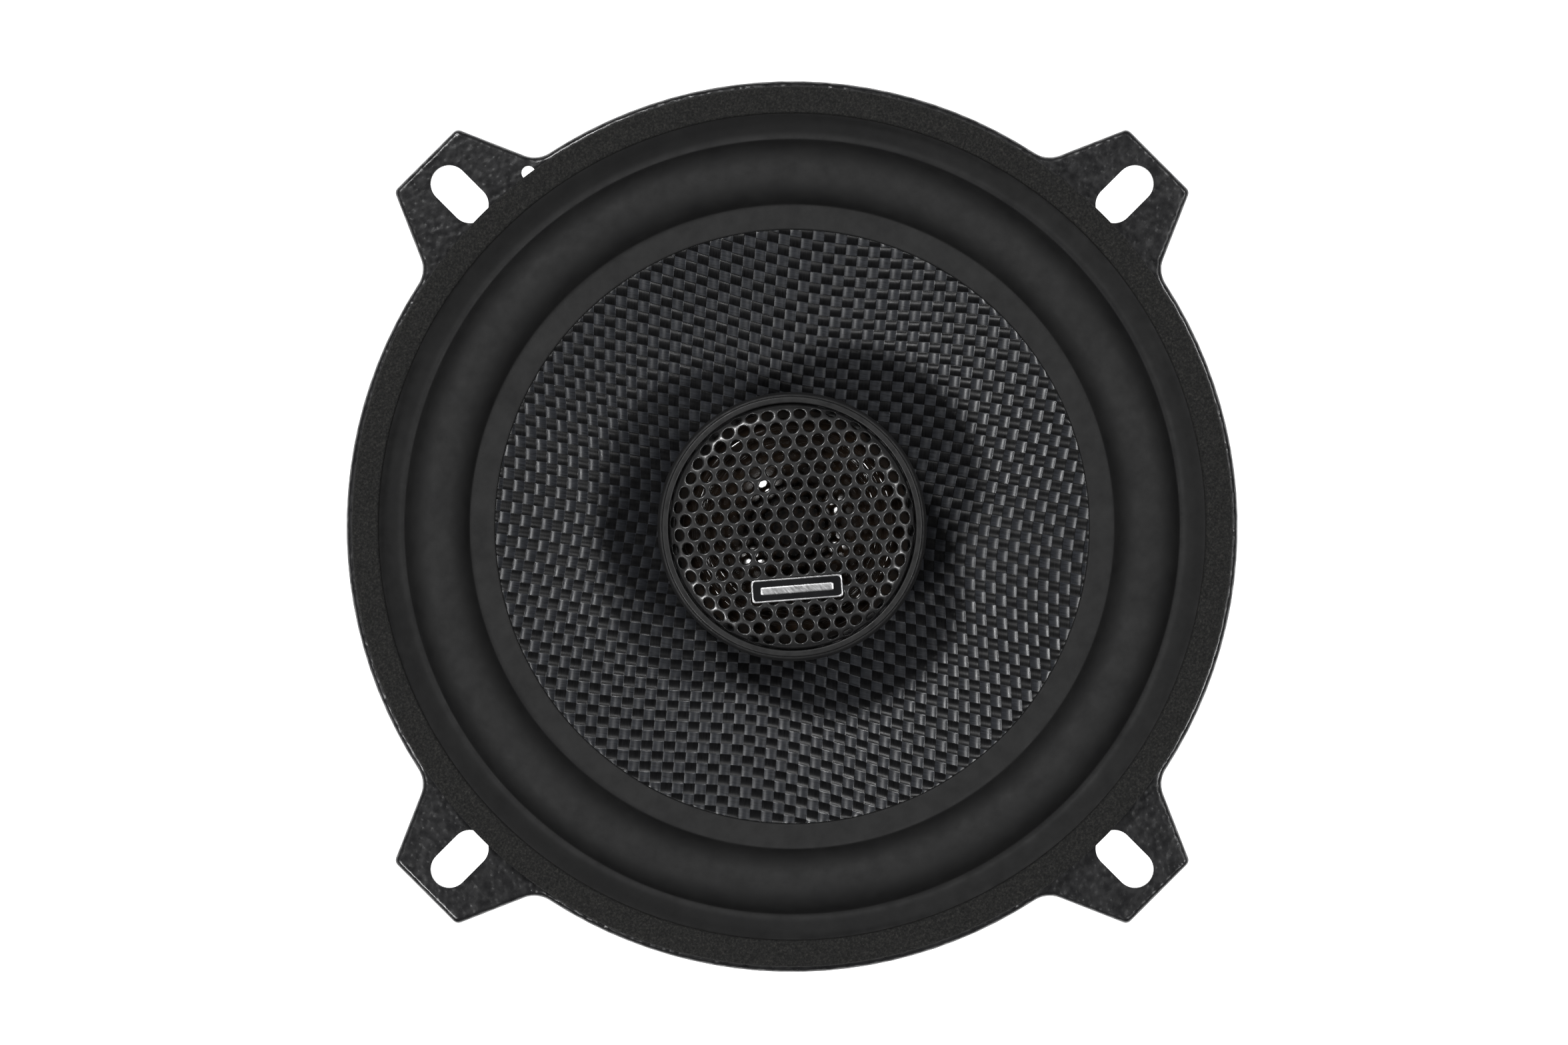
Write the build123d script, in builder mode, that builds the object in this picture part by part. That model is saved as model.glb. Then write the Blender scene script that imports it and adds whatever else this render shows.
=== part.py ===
from build123d import *
import os
from math import radians, sqrt, tan

# Coaxial car speaker of the 13 cm class, in millimetres.
# The origin is on the speaker's axis, in the plane where its turned-down rim rests on a
# panel. +Z points to the listener. The four mounting tabs lie on +X, +Y, -X and -Y.

os.makedirs("parts", exist_ok=True)

# ---- driving dimensions: flange and mounting tabs
SHEET = 1.0  # thickness of the basket's steel sheet
FLANGE_R = 65.0
FLANGE_TOP = 2.5  # top of the flange, over the panel
TAB_COUNT = 4
TAB_END = 75.6  # from the axis to a tab's cut outer end
TAB_END_HALF = 6.44  # half width of a tab at its end
TAB_TAPER = 0.4375  # growth of that half width per millimetre inwards
TAB_ROOT = 60.0
TAB_ROOT_FILLET = 4.0
TAB_CORNER_R = 1.0
RIM_ROUND = 0.85  # outer bend of the turned-down rim
SLOT_R = 68.5  # from the axis to a slot's centre
SLOT_W = 5.4
SLOT_L = 9.7
LOCATING_HOLE_R = 1.0
LOCATING_HOLE_AT = (64.3, 81.7)  # distance from the axis, and angle in degrees

# ---- driving dimensions: basket
STEP_TOP_R = 60.5  # outer and inner radius of the sloped seat for the surround
STEP_LOW_R = 57.5
STEP_LOW_Z = 0.2
WALL_LOW_R = 57.0
WALL_LOW_Z = -5.0
SHELF_OUT_R = 40.0
SHELF_IN_R = 31.5
SHELF_Z = -17.5  # top of the spider shelf
FLOOR_OUT_R = 30.5
FLOOR_IN_R = 17.0
FLOOR_Z = -27.0
BEND_R = 1.5
WINDOW_OUT_R = 54.0
WINDOW_IN_R = 41.0
WINDOW_CORNER_R = 2.5
SPOKE_W = 15.0
RIVET_HOLE_R = 1.6
RIVET_CIRCLE_R = 24.0
RIVET_COUNT = 4
RIVET_SHANK_L = 4.0
RIVET_POCKET_DEPTH = 3.2  # in the top plate
RIVET_HEAD_ROUND = 0.4

# ---- driving dimensions: moving parts of the woofer
GASKET_IN_R = 60.1
GASKET_OUT_R = 64.0
GASKET_Z = 3.05
GASKET_T = 1.75
GASKET_ROUND = 0.3
GLUE = 0.05  # thickness of a glue line
SURROUND_T = 0.5
ROLL_OUT_R = 56.2
ROLL_IN_R = 47.3
ROLL_RISE = 3.8
LIP_IN_R = 43.4
CONE_RIM_R = 46.8
CONE_RIM_Z = 0.45  # top of the cone's flat rim
CONE_T = 0.5
CONE_NECK_R = 13.1
CONE_NECK_Z = -15.0
CONE_COLLAR = 1.4
CONE_SAG = 0.9  # how far the cone's side curves below a straight line
SPIDER_T = 0.45
SPIDER_OUT_R = 36.5
SPIDER_FLAT_R = 32.0
SPIDER_COLLAR_R = 16.0
SPIDER_IN_R = 13.3
SPIDER_WAVES = 8  # half waves between the two flat rings
SPIDER_RISE = 0.8
COIL_FORMER_IN_R = 12.75
COIL_FORMER_OUT_R = 13.0
COIL_FORMER_TOP = -14.6
COIL_FORMER_BOTTOM = -36.0
COIL_GLUE = 0.02  # between the former and what is laid on it
WINDING_OUT_R = 13.6
WINDING_TOP = -25.5
WINDING_BOTTOM = -35.5

# ---- driving dimensions: magnet system
TOP_PLATE_R = 32.5
TOP_PLATE_BORE_R = 14.0
TOP_PLATE_T = 5.0
MAGNET_R = 35.0
MAGNET_BORE_R = 17.0
MAGNET_T = 12.0
BACK_PLATE_T = 5.0
POLE_R = 12.5
POLE_STANDS_PROUD = 1.0
POLE_BORE_R = 4.0
NUT_RECESS_R = 7.5
NUT_RECESS_DEPTH = 10.0
LEAD_CHANNEL_W = 4.0
LEAD_CHANNEL_DEPTH = 3.0
PLATE_CHAMFER = 0.4
MAGNET_CHAMFER = 0.5
BACK_CHAMFER = 1.0
POLE_ROUND = 0.8
TOP_PLATE_TOP = FLOOR_Z - SHEET
MAGNET_TOP = TOP_PLATE_TOP - TOP_PLATE_T
BACK_PLATE_TOP = MAGNET_TOP - MAGNET_T
BACK_Z = BACK_PLATE_TOP - BACK_PLATE_T
POLE_TOP = TOP_PLATE_TOP + POLE_STANDS_PROUD

# ---- driving dimensions: tweeter
TWEETER_TURN = -40.5  # angle of the grille's rows of holes from +X
POST_R = 6.0
POST_SPIGOT_R = 3.9
POST_STUD_R = 3.0
POST_BORE_R = 1.7
POST_FOOT_R = 9.5
POST_FOOT_T = 2.5
POST_HEAD_R = 12.0
POST_HEAD_T = 2.0
POST_STUD_L = 4.0  # threaded end below the seat of the washer
POST_FOOT_FLARE = 1.5
POST_HEAD_FLARE = 3.0
POST_MOUTH_R = 5.5  # funnel at the top of the bore
POST_MOUTH_DEPTH = 4.0
WASHER_R = 6.2
WASHER_T = 0.8
WASHER_PLAY = 0.2
NUT_R = 5.0
NUT_T = 3.0
NUT_PLAY = 0.05
CUP_R = 19.6
CUP_WALL = 1.2
CUP_BOTTOM = -6.0
CUP_TOP = 4.6
CUP_FLOOR_R = 15.0
CUP_FLOOR_TOP = -4.9
CUP_SIDE_LOW = -1.0  # where the cup's slanted bottom meets its upright side
CUP_ROUND = 0.4
RIB_OUT_R = 11.0
RIB_IN_R = 9.0
RIB_NOTCH = 4.0
RIB_T = 1.8  # height of the ring rib that carries the tweeter's magnet pot
POT_R = 14.2
POT_IN_R = 13.3
POT_FLOOR_T = 1.4
POT_BOTTOM = CUP_FLOOR_TOP + RIB_T
POT_TOP = 2.4
POT_ROUND = 0.8
NEO_R = 11.0
NEO_T = 2.6
TWEETER_POLE_R = 12.2
FELT_R = 10.0
FELT_T = 1.5
CARRIER_T = 1.0
CARRIER_IN_R = 13.4
CARRIER_OUT_R = 18.2
DOME_R = 12.4
DOME_RISE = 3.6
DIAPHRAGM_T = 0.25
DIAPHRAGM_ROLL_R = 15.6
DIAPHRAGM_SEAT_R = 12.9
DIAPHRAGM_SEAT_RISE = 0.15  # of the dome's foot over the clamped lip
DIAPHRAGM_ROLL_RISE = 0.9
DIAPHRAGM_LIP_R = 17.4
TWEETER_FORMER_IN_R = 12.45
TWEETER_FORMER_OUT_R = 12.7
TWEETER_WIRE_OUT_R = 13.0
TWEETER_WIRE_LOW = -0.4
TWEETER_WIRE_TOP = 2.2
TWEETER_FORMER_LOW = -0.6
BEZEL_OUT_R = 18.9
BEZEL_IN_R = 17.9
BEZEL_LEDGE_R = 17.0
BEZEL_TOP = 7.4
BEZEL_LEDGE_Z = 6.2
BEZEL_SPIGOT_Z = 3.75
BEZEL_ROUND = 0.4
GRILLE_T = 0.5
GRILLE_RISE = 2.2
GRILLE_R = 17.8
HOLE_PITCH = 2.36
HOLE_R = 0.85
HOLE_FIELD_R = 16.2  # no hole is centred further out than this
BADGE_SIZE = (13.2, 3.3)
BADGE_OFFSET = -9.0
BADGE_T = 0.6
BADGE_CORNER_R = 0.8
LUG_SIZE = (2.2, 2.4, 0.3)
LUG_X = 1.4
LUG_Y = -16.3

# ---- driving dimensions: terminals and leads
TONGUE_W = 10.0
TONGUE_IN_Y = -39.0
TONGUE_OUT_Y = -49.5
TONGUE_CORNER_R = 2.0
BOARD_CORNER_R = 1.5
BOARD_SIZE = (26.0, 11.0, 1.5)
BOARD_Y = -46.5
BLADE_T = 0.8
BLADE_X = 8.0
BLADE_IN_Y = -42.0
BLADE_OUT_Y = -56.5
POSITIVE_BLADE_W = 4.8
NEGATIVE_BLADE_W = 2.8
BLADE_EYE_R = 3.2  # round the rivet
SOLDER_END_W = 2.6
POSITIVE_PIP_R = 0.9  # latching hole near a blade's tip
NEGATIVE_PIP_R = 0.6
PIP_FROM_TIP = 3.0
BLADE_CHAMFER = 0.25
RIVET_SHANK_R = 1.5
RIVET_HEAD_R = 2.6
RIVET_HEAD_T = 0.6
BLADE_RIVET_Y = -46.5
BOARD_TOP = SHELF_Z + BOARD_SIZE[2]
BLADE_TOP = BOARD_TOP + BLADE_T
LEAD_R = 0.5  # insulated lead to the tweeter
LEAD_PITCH = 1.5
TINSEL_R = 0.6
REST_GAP = 0.02  # between a lead and what it rests on
PAD_X = 4.6
PAD_Y = -12.5
PAD_SIZE = (3.2, 6.0, 1.2)
PAD_GROWTH = 0.25  # of the solder over the former
PAD_LOW = CONE_NECK_Z - CONE_COLLAR - 1.4
WIRE_W = 0.5
WIRE_T = 0.2
CAPACITOR_R = 3.15
CAPACITOR_L = 12.0
CAPACITOR_Z = -23.4
CAPACITOR_ANGLE = -73.0
CAPACITOR_CENTRE_R = 35.55
CAPACITOR_ROUND = 0.6
CAPACITOR_LEAD_R = 0.3
GLUE_BEAD = (2.4, 8.0, 4.4)
GLUE_BEAD_R = 32.9  # from the axis to the bead's centre
SLEEVE_L = 4.6
SLEEVE_WALL = 0.3


def corner_radii(points):
    """The largest even arcs for a route's corners: 0.45 of the shorter run, over the turn."""
    radii = []
    for before, here, after in zip(points, points[1:], points[2:]):
        run_in = Vector(*here) - Vector(*before)
        run_out = Vector(*after) - Vector(*here)
        turn = radians(run_in.get_angle(run_out))
        radii.append(0.45 * min(run_in.length, run_out.length) / tan(turn / 2))
    return radii


def dome_radius(foot_r, rise):
    """Radius of the sphere whose cap has this foot radius and this rise."""
    return (foot_r**2 + rise**2) / (2 * rise)


def tab_half_width(u):
    """Half the width of a mounting tab at distance u from the axis."""
    return TAB_END_HALF + TAB_TAPER * (TAB_END - u)


def tab_points(inset, u_in, u_out):
    """Corners of a tab's tapering strip, its sides moved inwards by inset."""
    less = inset * sqrt(1 + TAB_TAPER**2)
    v_in = tab_half_width(u_in) - less
    v_out = tab_half_width(u_out) - less
    return [(u_in, -v_in), (u_out, -v_out), (u_out, v_out), (u_in, v_in)]


def from_axis(shape):
    """Distance of a vertex or an edge's middle from the speaker's axis."""
    place = shape.center()
    return sqrt(place.X**2 + place.Y**2)


# ======================= the stamped steel basket =======================
with BuildPart() as basket:
    # flange disc and four tapering tabs
    with BuildSketch() as flange_outline:
        Circle(FLANGE_R)
        with PolarLocations(0, TAB_COUNT):
            Polygon(*tab_points(0, TAB_ROOT, TAB_END), align=None)
        roots = [v for v in flange_outline.vertices() if abs(from_axis(v) - FLANGE_R) < 0.01]
        fillet(roots, TAB_ROOT_FILLET)
        corners = [v for v in flange_outline.vertices() if from_axis(v) > TAB_END]
        fillet(corners, TAB_CORNER_R)
    extrude(amount=FLANGE_TOP)
    bent_edges = [e for e in faces().sort_by(Axis.Z)[-1].edges() if from_axis(e) < TAB_END - 0.05]
    fillet(bent_edges, RIM_ROUND)
    # the hollow under the sheet, open at each tab's cut end
    with BuildSketch() as under_flange:
        add(flange_outline.sketch)
        offset(amount=-SHEET, mode=Mode.REPLACE)
        with PolarLocations(0, TAB_COUNT):
            Polygon(*tab_points(SHEET, TAB_ROOT, TAB_END + 2), align=None)
    extrude(amount=FLANGE_TOP - SHEET, mode=Mode.SUBTRACT)
    with BuildSketch(Plane.XY.offset(FLANGE_TOP)) as flange_bore:
        Circle(STEP_TOP_R + 0.5)
    extrude(amount=-FLANGE_TOP, mode=Mode.SUBTRACT)
    # step for the surround, conical wall, spider shelf and floor
    with BuildSketch(Plane.XZ) as wall_section:
        with BuildLine():
            FilletPolyline(
                (STEP_TOP_R + 1.5, FLANGE_TOP),
                (STEP_TOP_R, FLANGE_TOP),
                (STEP_LOW_R, STEP_LOW_Z),
                (WALL_LOW_R, WALL_LOW_Z),
                (SHELF_OUT_R, SHELF_Z),
                (SHELF_IN_R, SHELF_Z),
                (FLOOR_OUT_R, FLOOR_Z),
                (FLOOR_IN_R, FLOOR_Z),
                radius=[0.6, 1.2, BEND_R, BEND_R, BEND_R, BEND_R],
            )
            offset(amount=SHEET, side=Side.LEFT)
        make_face()
    revolve(axis=Axis.Z)
    # four windows between four spokes
    with BuildSketch() as windows:
        Circle(WINDOW_OUT_R)
        Circle(WINDOW_IN_R, mode=Mode.SUBTRACT)
        for spoke_angle in (45, 135):
            Rectangle(2 * FLANGE_R, SPOKE_W, rotation=spoke_angle, mode=Mode.SUBTRACT)
        fillet(windows.vertices(), WINDOW_CORNER_R)
    extrude(amount=SHELF_Z - 2 * SHEET, mode=Mode.SUBTRACT)
    # tongue that carries the terminal board
    with BuildSketch(Plane.XY.offset(SHELF_Z)) as tongue:
        with Locations((0, (TONGUE_IN_Y + TONGUE_OUT_Y) / 2)):
            RectangleRounded(TONGUE_W, TONGUE_IN_Y - TONGUE_OUT_Y, TONGUE_CORNER_R)
        with Locations((0, BLADE_RIVET_Y)):
            Circle(RIVET_HOLE_R, mode=Mode.SUBTRACT)
    extrude(amount=-SHEET)
    # mounting slots, locating hole and rivet holes
    with BuildSketch(Plane.XY.offset(FLANGE_TOP)) as flange_holes:
        with PolarLocations(SLOT_R, TAB_COUNT):
            SlotOverall(SLOT_L, SLOT_W)
        with PolarLocations(LOCATING_HOLE_AT[0], 1, start_angle=LOCATING_HOLE_AT[1]):
            Circle(LOCATING_HOLE_R)
    extrude(amount=-SHEET, mode=Mode.SUBTRACT)
    with BuildSketch(Plane.XY.offset(FLOOR_Z)) as floor_holes:
        with PolarLocations(RIVET_CIRCLE_R, RIVET_COUNT, start_angle=45):
            Circle(RIVET_HOLE_R)
    extrude(amount=-SHEET, mode=Mode.SUBTRACT)
basket.part.label = "basket"
export_step(basket.part, "parts/basket.step")

with BuildPart() as basket_rivets:
    with PolarLocations(RIVET_CIRCLE_R, RIVET_COUNT, start_angle=45):
        with Locations((0, 0, FLOOR_Z)):
            Cylinder(RIVET_HEAD_R, RIVET_HEAD_T, align=(Align.CENTER, Align.CENTER, Align.MIN))
            Cylinder(RIVET_SHANK_R, RIVET_SHANK_L, align=(Align.CENTER, Align.CENTER, Align.MAX))
    head_rims = basket_rivets.edges().group_by(Axis.Z)[-1]
    fillet(head_rims, RIVET_HEAD_ROUND)
basket_rivets.part.label = "basket_rivets"
export_step(basket_rivets.part, "parts/basket_rivets.step")

# ======================= soft ring parts of the woofer =======================
with BuildPart() as mounting_gasket:
    with BuildSketch(Plane.XY.offset(GASKET_Z)):
        Circle(GASKET_OUT_R)
        Circle(GASKET_IN_R, mode=Mode.SUBTRACT)
    extrude(amount=GASKET_T)
    fillet(faces().sort_by(Axis.Z)[-1].edges(), GASKET_ROUND)
mounting_gasket.part.label = "mounting_gasket"
export_step(mounting_gasket.part, "parts/mounting_gasket.step")

with BuildPart() as surround:
    with BuildSketch(Plane.XZ):
        with BuildLine():
            roll_foot = CONE_RIM_Z + GLUE
            outer_lip = Polyline(
                (GASKET_OUT_R - 0.2, FLANGE_TOP + GLUE),
                (STEP_TOP_R, FLANGE_TOP + GLUE),
                (STEP_LOW_R - 0.1, roll_foot),
                (ROLL_OUT_R, roll_foot),
            )
            roll = ThreePointArc(
                outer_lip @ 1,
                ((ROLL_OUT_R + ROLL_IN_R) / 2, roll_foot + ROLL_RISE),
                (ROLL_IN_R, roll_foot),
            )
            Line(roll @ 1, (LIP_IN_R, roll_foot))
            offset(amount=SURROUND_T, side=Side.RIGHT)
        make_face()
    revolve(axis=Axis.Z)
surround.part.label = "surround"
export_step(surround.part, "parts/surround.step")

with BuildPart() as spider:
    with BuildSketch(Plane.XZ):
        with BuildLine():
            spider_foot = SHELF_Z + GLUE
            Line((SPIDER_OUT_R, spider_foot), (SPIDER_FLAT_R, spider_foot))
            wave = (SPIDER_FLAT_R - SPIDER_COLLAR_R) / SPIDER_WAVES
            for i in range(SPIDER_WAVES):
                start = SPIDER_FLAT_R - i * wave
                rise = SPIDER_RISE * (1 if i % 2 else -1)
                ThreePointArc(
                    (start, spider_foot),
                    (start - wave / 2, spider_foot + rise),
                    (start - wave, spider_foot),
                )
            Line((SPIDER_COLLAR_R, spider_foot), (SPIDER_IN_R, spider_foot))
            offset(amount=SPIDER_T, side=Side.RIGHT)
        make_face()
    revolve(axis=Axis.Z)
spider.part.label = "spider"
export_step(spider.part, "parts/spider.step")

# ======================= cone and voice coil =======================
with BuildPart() as cone:
    with BuildSketch(Plane.XZ):
        with BuildLine():
            middle_r = (LIP_IN_R + CONE_NECK_R) / 2
            middle_z = (CONE_RIM_Z + CONE_NECK_Z) / 2 - CONE_SAG
            flat = Line((CONE_RIM_R, CONE_RIM_Z), (LIP_IN_R, CONE_RIM_Z))
            side = ThreePointArc(flat @ 1, (middle_r, middle_z), (CONE_NECK_R, CONE_NECK_Z))
            Line(side @ 1, (CONE_NECK_R, CONE_NECK_Z - CONE_COLLAR))
            offset(amount=CONE_T, side=Side.LEFT)
        make_face()
    revolve(axis=Axis.Z)
cone.part.label = "cone"
export_step(cone.part, "parts/cone.step")

with BuildPart() as voice_coil_former:
    with BuildSketch(Plane.XY.offset(COIL_FORMER_BOTTOM)):
        Circle(COIL_FORMER_OUT_R)
        Circle(COIL_FORMER_IN_R, mode=Mode.SUBTRACT)
    extrude(amount=COIL_FORMER_TOP - COIL_FORMER_BOTTOM)
voice_coil_former.part.label = "voice_coil_former"
export_step(voice_coil_former.part, "parts/voice_coil_former.step")

with BuildPart() as voice_coil_winding:
    with BuildSketch(Plane.XY.offset(WINDING_BOTTOM)):
        Circle(WINDING_OUT_R)
        Circle(COIL_FORMER_OUT_R + COIL_GLUE, mode=Mode.SUBTRACT)
    extrude(amount=WINDING_TOP - WINDING_BOTTOM)
voice_coil_winding.part.label = "voice_coil_winding"
export_step(voice_coil_winding.part, "parts/voice_coil_winding.step")

# ======================= magnet system =======================
with BuildPart() as top_plate:
    with BuildSketch(Plane.XY.offset(MAGNET_TOP)):
        Circle(TOP_PLATE_R)
        Circle(TOP_PLATE_BORE_R, mode=Mode.SUBTRACT)
    extrude(amount=TOP_PLATE_T)
    chamfer(faces().sort_by(Axis.Z)[-1].edges().sort_by(SortBy.LENGTH)[-1], PLATE_CHAMFER)
    with BuildSketch(Plane.XY.offset(TOP_PLATE_TOP)):
        with PolarLocations(RIVET_CIRCLE_R, RIVET_COUNT, start_angle=45):
            Circle(RIVET_HOLE_R)
    extrude(amount=-RIVET_POCKET_DEPTH, mode=Mode.SUBTRACT)
top_plate.part.label = "top_plate"
export_step(top_plate.part, "parts/top_plate.step")

with BuildPart() as magnet:
    with BuildSketch(Plane.XY.offset(BACK_PLATE_TOP)):
        Circle(MAGNET_R)
        Circle(MAGNET_BORE_R, mode=Mode.SUBTRACT)
    extrude(amount=MAGNET_T)
    chamfer(magnet.edges().filter_by(GeomType.CIRCLE), MAGNET_CHAMFER)
magnet.part.label = "magnet"
export_step(magnet.part, "parts/magnet.step")

with BuildPart() as yoke:
    # back plate and pole in one piece, bored for the tweeter's post
    with BuildSketch(Plane.XY.offset(BACK_Z)):
        Circle(TOP_PLATE_R)
    extrude(amount=BACK_PLATE_T)
    chamfer(yoke.edges().group_by(Axis.Z)[0], BACK_CHAMFER)
    with BuildSketch(Plane.XY.offset(BACK_PLATE_TOP)):
        Circle(POLE_R)
    extrude(amount=POLE_TOP - BACK_PLATE_TOP)
    fillet(yoke.edges().group_by(Axis.Z)[-1], POLE_ROUND)
    with BuildSketch(Plane.XY.offset(BACK_Z)):
        Circle(POLE_BORE_R)
    extrude(amount=POLE_TOP - BACK_Z, mode=Mode.SUBTRACT)
    with BuildSketch(Plane.XY.offset(BACK_Z)):
        Circle(NUT_RECESS_R)
    extrude(amount=NUT_RECESS_DEPTH, mode=Mode.SUBTRACT)
    # channel for the tweeter's leads, from the nut recess to the plate's edge
    with BuildSketch(Plane.XY.offset(BACK_Z)):
        with Locations((0, -TOP_PLATE_R)):
            Rectangle(LEAD_CHANNEL_W, 2 * (TOP_PLATE_R - POLE_BORE_R))
    extrude(amount=LEAD_CHANNEL_DEPTH, mode=Mode.SUBTRACT)
yoke.part.label = "yoke"
export_step(yoke.part, "parts/yoke.step")

# ======================= tweeter's post =======================
with BuildPart() as tweeter_post:
    recess_z = BACK_Z + NUT_RECESS_DEPTH
    head_bottom = CUP_BOTTOM - POST_HEAD_T
    with BuildSketch(Plane.XZ):
        Polygon(
            (POST_BORE_R, recess_z - POST_STUD_L),
            (POST_STUD_R, recess_z - POST_STUD_L),
            (POST_STUD_R, recess_z),
            (POST_SPIGOT_R, recess_z),
            (POST_SPIGOT_R, POLE_TOP),
            (POST_FOOT_R, POLE_TOP),
            (POST_FOOT_R, POLE_TOP + POST_FOOT_T),
            (POST_R, POLE_TOP + POST_FOOT_T + POST_FOOT_FLARE),
            (POST_R, head_bottom - POST_HEAD_FLARE),
            (POST_HEAD_R, head_bottom),
            (POST_HEAD_R, CUP_BOTTOM),
            (POST_MOUTH_R, CUP_BOTTOM),
            (POST_BORE_R, CUP_BOTTOM - POST_MOUTH_DEPTH),
            align=None,
        )
    revolve(axis=Axis.Z)
tweeter_post.part.label = "tweeter_post"
export_step(tweeter_post.part, "parts/tweeter_post.step")

with BuildPart() as post_washer:
    with BuildSketch(Plane.XY.offset(recess_z)):
        Circle(WASHER_R)
        Circle(POST_STUD_R + WASHER_PLAY, mode=Mode.SUBTRACT)
    extrude(amount=-WASHER_T)
post_washer.part.label = "post_washer"
export_step(post_washer.part, "parts/post_washer.step")

with BuildPart() as post_nut:
    with BuildSketch(Plane.XY.offset(recess_z - WASHER_T)):
        RegularPolygon(NUT_R, 6, major_radius=False)
        Circle(POST_STUD_R + NUT_PLAY, mode=Mode.SUBTRACT)
    extrude(amount=-NUT_T)
post_nut.part.label = "post_nut"
export_step(post_nut.part, "parts/post_nut.step")

# ======================= tweeter =======================
with BuildPart() as tweeter_cup:
    with BuildSketch(Plane.XZ):
        Polygon(
            (POST_MOUTH_R, CUP_BOTTOM),
            (CUP_FLOOR_R, CUP_BOTTOM),
            (CUP_R, CUP_SIDE_LOW),
            (CUP_R, CUP_TOP),
            (CUP_R - CUP_WALL, CUP_TOP),
            (CUP_R - CUP_WALL, CUP_SIDE_LOW + 0.5),
            (CUP_FLOOR_R - 0.3, CUP_FLOOR_TOP),
            (POST_MOUTH_R, CUP_FLOOR_TOP),
            align=None,
        )
    revolve(axis=Axis.Z)
    fillet(tweeter_cup.edges().group_by(Axis.Z)[-1].sort_by(SortBy.LENGTH)[-1], CUP_ROUND)
    # ring rib under the magnet pot, notched for the leads
    with BuildSketch(Plane.XY.offset(CUP_FLOOR_TOP)):
        Circle(RIB_OUT_R)
        Circle(RIB_IN_R, mode=Mode.SUBTRACT)
        with Locations((0, -(RIB_OUT_R + RIB_IN_R) / 2)):
            Rectangle(RIB_NOTCH, RIB_NOTCH, mode=Mode.SUBTRACT)
    extrude(amount=RIB_T)
tweeter_cup.part.label = "tweeter_cup"
export_step(tweeter_cup.part, "parts/tweeter_cup.step")

with BuildPart() as tweeter_pot:
    with BuildSketch(Plane.XY.offset(POT_BOTTOM)):
        Circle(POT_R)
    extrude(amount=POT_TOP - POT_BOTTOM)
    fillet(tweeter_pot.edges().group_by(Axis.Z)[0], POT_ROUND)
    with BuildSketch(Plane.XY.offset(POT_TOP)):
        Circle(POT_IN_R)
    extrude(amount=POT_BOTTOM + POT_FLOOR_T - POT_TOP, mode=Mode.SUBTRACT)
tweeter_pot.part.label = "tweeter_pot"
export_step(tweeter_pot.part, "parts/tweeter_pot.step")

with BuildPart() as tweeter_magnet:
    neo_bottom = POT_BOTTOM + POT_FLOOR_T
    with BuildSketch(Plane.XY.offset(neo_bottom)):
        Circle(NEO_R)
    extrude(amount=NEO_T)
tweeter_magnet.part.label = "tweeter_magnet"
export_step(tweeter_magnet.part, "parts/tweeter_magnet.step")

with BuildPart() as tweeter_pole_plate:
    with BuildSketch(Plane.XY.offset(neo_bottom + NEO_T)):
        Circle(TWEETER_POLE_R)
    extrude(amount=POT_TOP - neo_bottom - NEO_T)
tweeter_pole_plate.part.label = "tweeter_pole_plate"
export_step(tweeter_pole_plate.part, "parts/tweeter_pole_plate.step")

with BuildPart() as tweeter_damping_felt:
    with BuildSketch(Plane.XY.offset(POT_TOP)):
        Circle(FELT_R)
    extrude(amount=FELT_T)
tweeter_damping_felt.part.label = "tweeter_damping_felt"
export_step(tweeter_damping_felt.part, "parts/tweeter_damping_felt.step")

with BuildPart() as tweeter_carrier_ring:
    with BuildSketch(Plane.XY.offset(POT_TOP)):
        Circle(CARRIER_OUT_R)
        Circle(CARRIER_IN_R, mode=Mode.SUBTRACT)
    extrude(amount=CARRIER_T)
tweeter_carrier_ring.part.label = "tweeter_carrier_ring"
export_step(tweeter_carrier_ring.part, "parts/tweeter_carrier_ring.step")

with BuildPart() as tweeter_diaphragm:
    diaphragm_z = POT_TOP + CARRIER_T
    with BuildSketch(Plane.XZ):
        with BuildLine():
            dome_foot = (DOME_R, diaphragm_z + DIAPHRAGM_SEAT_RISE)
            dome_top = (0, diaphragm_z + DIAPHRAGM_SEAT_RISE + DOME_RISE)
            lip = Line((DIAPHRAGM_LIP_R, diaphragm_z), (DIAPHRAGM_ROLL_R, diaphragm_z))
            small_roll = ThreePointArc(
                lip @ 1,
                ((DIAPHRAGM_ROLL_R + DIAPHRAGM_SEAT_R) / 2, diaphragm_z + DIAPHRAGM_ROLL_RISE),
                (DIAPHRAGM_SEAT_R, diaphragm_z + DIAPHRAGM_SEAT_RISE),
            )
            seat = Line(small_roll @ 1, dome_foot)
            under = RadiusArc(seat @ 1, dome_top, -dome_radius(DOME_R, DOME_RISE))
            up = Line(under @ 1, (0, dome_top[1] + DIAPHRAGM_T))
            outer_foot = (DOME_R + DIAPHRAGM_T, diaphragm_z + DIAPHRAGM_SEAT_RISE + DIAPHRAGM_T)
            over = RadiusArc(up @ 1, outer_foot, dome_radius(outer_foot[0], DOME_RISE))
            outer_seat = Line(over @ 1, (DIAPHRAGM_SEAT_R, outer_foot[1]))
            outer_roll = ThreePointArc(
                outer_seat @ 1,
                ((DIAPHRAGM_ROLL_R + DIAPHRAGM_SEAT_R) / 2, diaphragm_z + DIAPHRAGM_ROLL_RISE + DIAPHRAGM_T),
                (DIAPHRAGM_ROLL_R, diaphragm_z + DIAPHRAGM_T),
            )
            Polyline(
                outer_roll @ 1,
                (DIAPHRAGM_LIP_R, diaphragm_z + DIAPHRAGM_T),
                (DIAPHRAGM_LIP_R, diaphragm_z),
            )
        make_face()
    revolve(axis=Axis.Z)
tweeter_diaphragm.part.label = "tweeter_diaphragm"
export_step(tweeter_diaphragm.part, "parts/tweeter_diaphragm.step")

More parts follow.
